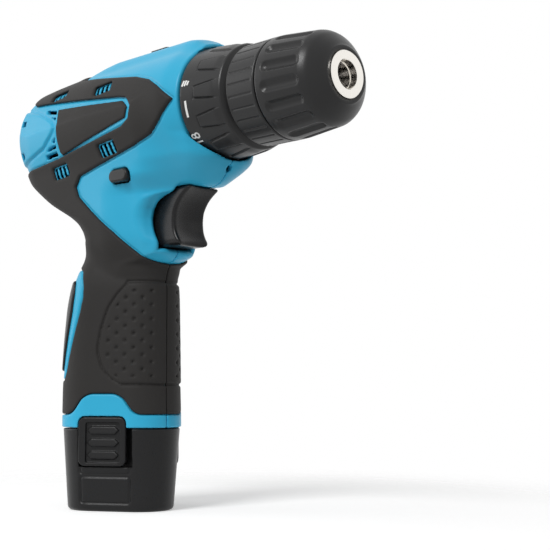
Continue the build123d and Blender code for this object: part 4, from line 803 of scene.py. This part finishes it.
# Clutch ring: a cone with raised lugs that narrow towards the rear
CONE_REAR, CONE_FRONT = 62.6, 84.6
CONE = ((CONE_REAR, 23.7), (63.2, 24.1), (84.0, 21.9), (CONE_FRONT, 21.5))
# A neck reaches forward into the collar
CLUTCH_BORE = (
    (CONE_FRONT, 17.0), (87.4, 17.0), (87.4, 14.0), (CONE_FRONT, 14.0), (CONE_FRONT, 11.55), (82.4, 11.55),
    (82.4, 19.2), (CONE_REAR, 19.2),
)
LUGS, LUG_RADIUS = 12, 22.5
LUG_REAR, LUG_FRONT = 70.8, 84.0
LUG_HALF = (2.0, 3.7)  # At the rear and at the front
LUG_HEIGHT, LUG_GROOVE, LUG_GROOVE_OFF, LUG_GROOVE_WIDE = 0.55, 0.45, 0.35, 0.3


def cone_radius(x):
    """Clutch ring's radius at a place, without its lugs."""
    return np.interp(x, *zip(*CONE))


def clutch_radius(x, angles):
    """Clutch ring's radius at a place, with the lugs and the groove round each."""
    pitch = 2 * math.pi / LUGS
    off = np.abs((angles + pitch / 2) % pitch - pitch / 2) * LUG_RADIUS
    edge = np.maximum(off - np.interp(x, (LUG_REAR, LUG_FRONT), LUG_HALF), 0.8 * (LUG_REAR - x))
    rise = LUG_HEIGHT * smooth(0.25, -0.25, edge) * (1 - smooth(80.0, 84.4, x))
    groove = LUG_GROOVE * bell(edge - LUG_GROOVE_OFF, LUG_GROOVE_WIDE)
    return cone_radius(x) + rise - groove * (1 - smooth(79.0, 83.0, x))


places = np.concatenate((
    [CONE_REAR, 62.8, 63.2], np.linspace(64, 69.2, 8), np.linspace(69.4, 71.4, 15),
    np.linspace(72, 83.8, 20), [84.0, 84.2, 84.4, CONE_FRONT],
))
turned("clutch_look", places, clutch_radius, CLUTCH_BORE, count=1080, body="clutch", node="clutch_ring")

# White print on the clutch ring: flat strokes in mm along the axis and along the rim, wrapped on

PRINT_LIFT = 0.06
FIGURE_WIDE, FIGURE_TALL, FIGURE_STROKE = 2.4, 3.9, 0.72
FIGURE_PITCH, FIGURE_GAP = 3.3, 0.45
STROKE_STEP = 1.2  # Longest quad along a stroke
# Numerals: place, the angle one step before the first, the step, and the number that they count down from
NUMERAL_X, NUMERAL_ANGLE, NUMERAL_TURN, NUMERAL_TOP = 65.6, 197, 30, 20
POINTER_X, POINTER_ANGLE = 66.2, 195
SIGN_X, SIGN_ANGLE = 66.0, 169


def bar(u0, v0, u1, v1, width):
    """Quads of a stroke from one point to another."""
    du, dv = u1 - u0, v1 - v0
    length = math.hypot(du, dv)
    nu, nv = -dv / length * width / 2, du / length * width / 2
    count = max(1, int(length / STROKE_STEP))
    ends = [(u0 + du * (n / count), v0 + dv * (n / count)) for n in range(count + 1)]
    return [[(a + nu, b + nv), (a - nu, b - nv), (c - nu, d - nv), (c + nu, d + nv)]
            for (a, b), (c, d) in zip(ends, ends[1:])]


def loop(cu, cv, ru, rv):
    """Closed oval stroke."""
    return [(cu + ru * math.cos(n * math.pi / 8), cv + rv * math.sin(n * math.pi / 8)) for n in range(17)]


# Strokes of the figures, in shares of a figure's width and height
FIGURES = {
    "0": [loop(0.5, 0.5, 0.46, 0.5)],
    "1": [[(0.15, 0.72), (0.6, 1.0), (0.6, 0.0)]],
    "2": [[(0.05, 0.72), (0.15, 0.92), (0.5, 1.0), (0.85, 0.9), (0.93, 0.7), (0.8, 0.48), (0.05, 0.0),
           (0.95, 0.0)]],
    "4": [[(0.72, 0.0), (0.72, 1.0), (0.0, 0.3), (1.0, 0.3)]],
    "6": [[(0.82, 1.0), (0.35, 0.8), (0.06, 0.4)], loop(0.5, 0.3, 0.46, 0.3)],
    "8": [loop(0.5, 0.76, 0.38, 0.24), loop(0.5, 0.27, 0.46, 0.27)],
}


def numeral(text):
    """Rounded figures, upright when read from the front of the ring."""
    quads = []
    for n, figure in enumerate(text):
        left = n * FIGURE_PITCH - len(text) * FIGURE_PITCH / 2 + FIGURE_GAP
        for stroke in FIGURES[figure]:
            ends = [(FIGURE_TALL * (0.5 - up), -(left + FIGURE_WIDE * across)) for across, up in stroke]
            for start, end in zip(ends, ends[1:]):
                quads += bar(*start, *end, FIGURE_STROKE)
    return quads


def print_on_ring(name, shapes):
    """Wrap quads on the ring, each group about a place along the axis and an angle."""
    points = []
    for middle, angle, polygons in shapes:
        for u, v in sum(polygons, []):
            r = float(cone_radius(middle + u)) + PRINT_LIFT
            a = math.radians(angle) + v / r
            points.append((middle + u, r * math.cos(a), AXIS + r * math.sin(a)))
    quads = np.arange(len(points)).reshape(-1, 4)
    return add_mesh(name, points, quads, look["mark"], "clutch", "black_plastic")


pointer = bar(-0.2, -3.4, -0.2, 3.4, 1.1)
drill_sign = bar(-1.9, 1.2, -1.1, -1.2, 0.9) + bar(-0.6, 1.2, 0.2, -1.2, 0.9) + bar(0.7, 1.0, 1.4, -0.8, 0.9)
marks = [(POINTER_X, POINTER_ANGLE, pointer), (SIGN_X, SIGN_ANGLE, drill_sign)]
for n in range(1, NUMERAL_TOP // 2):
    marks.append((NUMERAL_X, NUMERAL_ANGLE + NUMERAL_TURN * n, numeral(str(NUMERAL_TOP - 2 * n))))
print_on_ring("clutch_marks", marks)

# Clutch spring inside the dial, which shortens as the nut comes back; here it is meshed at one length

SPRING_REAR, SPRING_LENGTH, SPRING_RADIUS, SPRING_TURNS = 49.9, 15.2, 15.0, 5
SPRING_RINGS, WIRE_SIDES, WIRE_RADIUS = 240, 8, 1.0

turn = np.linspace(0, 2 * math.pi * SPRING_TURNS, SPRING_RINGS)[:, None]
round_wire = (np.arange(WIRE_SIDES) * 2 * math.pi / WIRE_SIDES)[None, :]
reach = SPRING_RADIUS + WIRE_RADIUS * np.cos(round_wire)
place = SPRING_REAR + SPRING_LENGTH * turn / turn[-1] + WIRE_RADIUS * np.sin(round_wire)
points = np.stack((place, reach * np.cos(turn), AXIS + reach * np.sin(turn)), axis=-1).reshape(-1, 3)
starts = np.arange(SPRING_RINGS - 1)[:, None] * WIRE_SIDES
# Three quads close the eight-sided wire at each end
end = np.array(((0, 1, 2, 3), (0, 3, 4, 7), (4, 5, 6, 7)))
last = (SPRING_RINGS - 1) * WIRE_SIDES
quads = np.concatenate((bands(starts, starts + WIRE_SIDES, WIRE_SIDES), end, end[:, ::-1] + last))
spring = add_mesh("spring_look", points, quads, look["steel"], "housing", "steel", "clutch_spring")
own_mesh(spring)

# Surroundings, in metres: white where they are seen, dimmer where they light the object

SKY_LIGHT = 0.27

scene = bpy.context.scene
scene.view_settings.view_transform = "Standard"


def larger(tree, a, b):
    """Larger of two sockets."""
    node = tree.nodes.new("ShaderNodeMath")
    node.operation = "MAXIMUM"
    tree.links.new(a, node.inputs[0])
    tree.links.new(b, node.inputs[1])
    return node.outputs[0]


world = bpy.data.worlds.new("studio")
scene.world = world
world.use_nodes = True
tree = world.node_tree
background = tree.nodes["Background"]
background.inputs["Color"].default_value = (1, 1, 1, 1)
path = tree.nodes.new("ShaderNodeLightPath").outputs
seen = larger(tree, larger(tree, path["Is Camera Ray"], path["Is Glossy Ray"]), path["Is Transmission Ray"])
tree.links.new(ramp(tree, seen, (0.0, 1.0), (SKY_LIGHT, 1.0)), background.inputs["Strength"])

# Floor, which ends softly, so that no horizon shows against the white surroundings

FLOOR_HALF = 3.0
FLOOR_GLOW = 0.36
FLOOR_TONES = (0.88, 0.92)
FLOOR_FADE = (0.06, 0.30)


def floor_finish():
    """Matt pale surface that fades out with distance from the object."""
    mat = bpy.data.materials.new("floor")
    mat.use_nodes = True
    tree = mat.node_tree
    shader = tree.nodes["Principled BSDF"]
    shader.inputs["Roughness"].default_value = 0.9
    shader.inputs["Emission Color"].default_value = (1, 1, 1, 1)
    shader.inputs["Emission Strength"].default_value = FLOOR_GLOW
    cloud = add_node(tree, "ShaderNodeTexNoise", Scale=3.0)
    tone = ramp(tree, cloud.outputs["Fac"], (0.0, 1.0), FLOOR_TONES)
    colour = tree.nodes.new("ShaderNodeCombineColor")
    for channel in ("Red", "Green", "Blue"):
        tree.links.new(tone, colour.inputs[channel])
    tree.links.new(colour.outputs["Color"], shader.inputs["Base Color"])
    away = tree.nodes.new("ShaderNodeVectorMath")
    away.operation = "LENGTH"
    tree.links.new(tree.nodes.new("ShaderNodeTexCoord").outputs["Object"], away.inputs[0])
    shown = ramp(tree, away.outputs["Value"], FLOOR_FADE, (1.0, 0.0), "SMOOTHSTEP")
    tree.links.new(shown, shader.inputs["Alpha"])
    return mat


floor_mesh = bpy.data.meshes.new("floor")
floor_corners = [(FLOOR_HALF * x, FLOOR_HALF * y, 0) for x, y in ((-1, -1), (1, -1), (1, 1), (-1, 1))]
floor_mesh.from_pydata(floor_corners, [], [(0, 1, 2, 3)])
floor_mesh.materials.append(floor_finish())
floor = bpy.data.objects.new("floor", floor_mesh)
scene.collection.objects.link(floor)

# Lamps and camera


def put(name, data, right, up, back, place):
    """Add a lamp or a camera that looks against its back axis."""
    obj = bpy.data.objects.new(name, data)
    scene.collection.objects.link(obj)
    obj.matrix_world = Matrix((*zip(right, up, back, place), (0, 0, 0, 1)))
    return obj


def lamp(name, place, target, size, power):
    """Square soft lamp that faces a target."""
    data = bpy.data.lights.new(name, "AREA")
    data.size = size
    data.energy = power
    back = np.subtract(place, target)
    back = back / np.linalg.norm(back)
    right = np.cross((0, 0, 1), back)
    right = right / np.linalg.norm(right)
    put(name, data, right, np.cross(back, right), back, place)


lamp("key", place=(0.16, -0.82, 0.78), target=(0.03, 0, 0.12), size=0.4, power=8.0)
lamp("fill", place=(0.9, 0.35, 0.45), target=(0.03, 0, 0.12), size=0.5, power=0.25)
lamp("side", place=(-0.85, -0.50, 0.40), target=(0.0, 0, 0.10), size=0.6, power=1.7)

camera = bpy.data.cameras.new("camera")
camera.sensor_width = 36.0
camera.lens = 77.82
scene.camera = put("camera", camera, right=(0.7096, 0.7046, 0.0), up=(0.0700, -0.0705, 0.9950),
                   back=(0.7011, -0.7061, -0.0993), place=(0.4262, -0.3345, 0.0506))
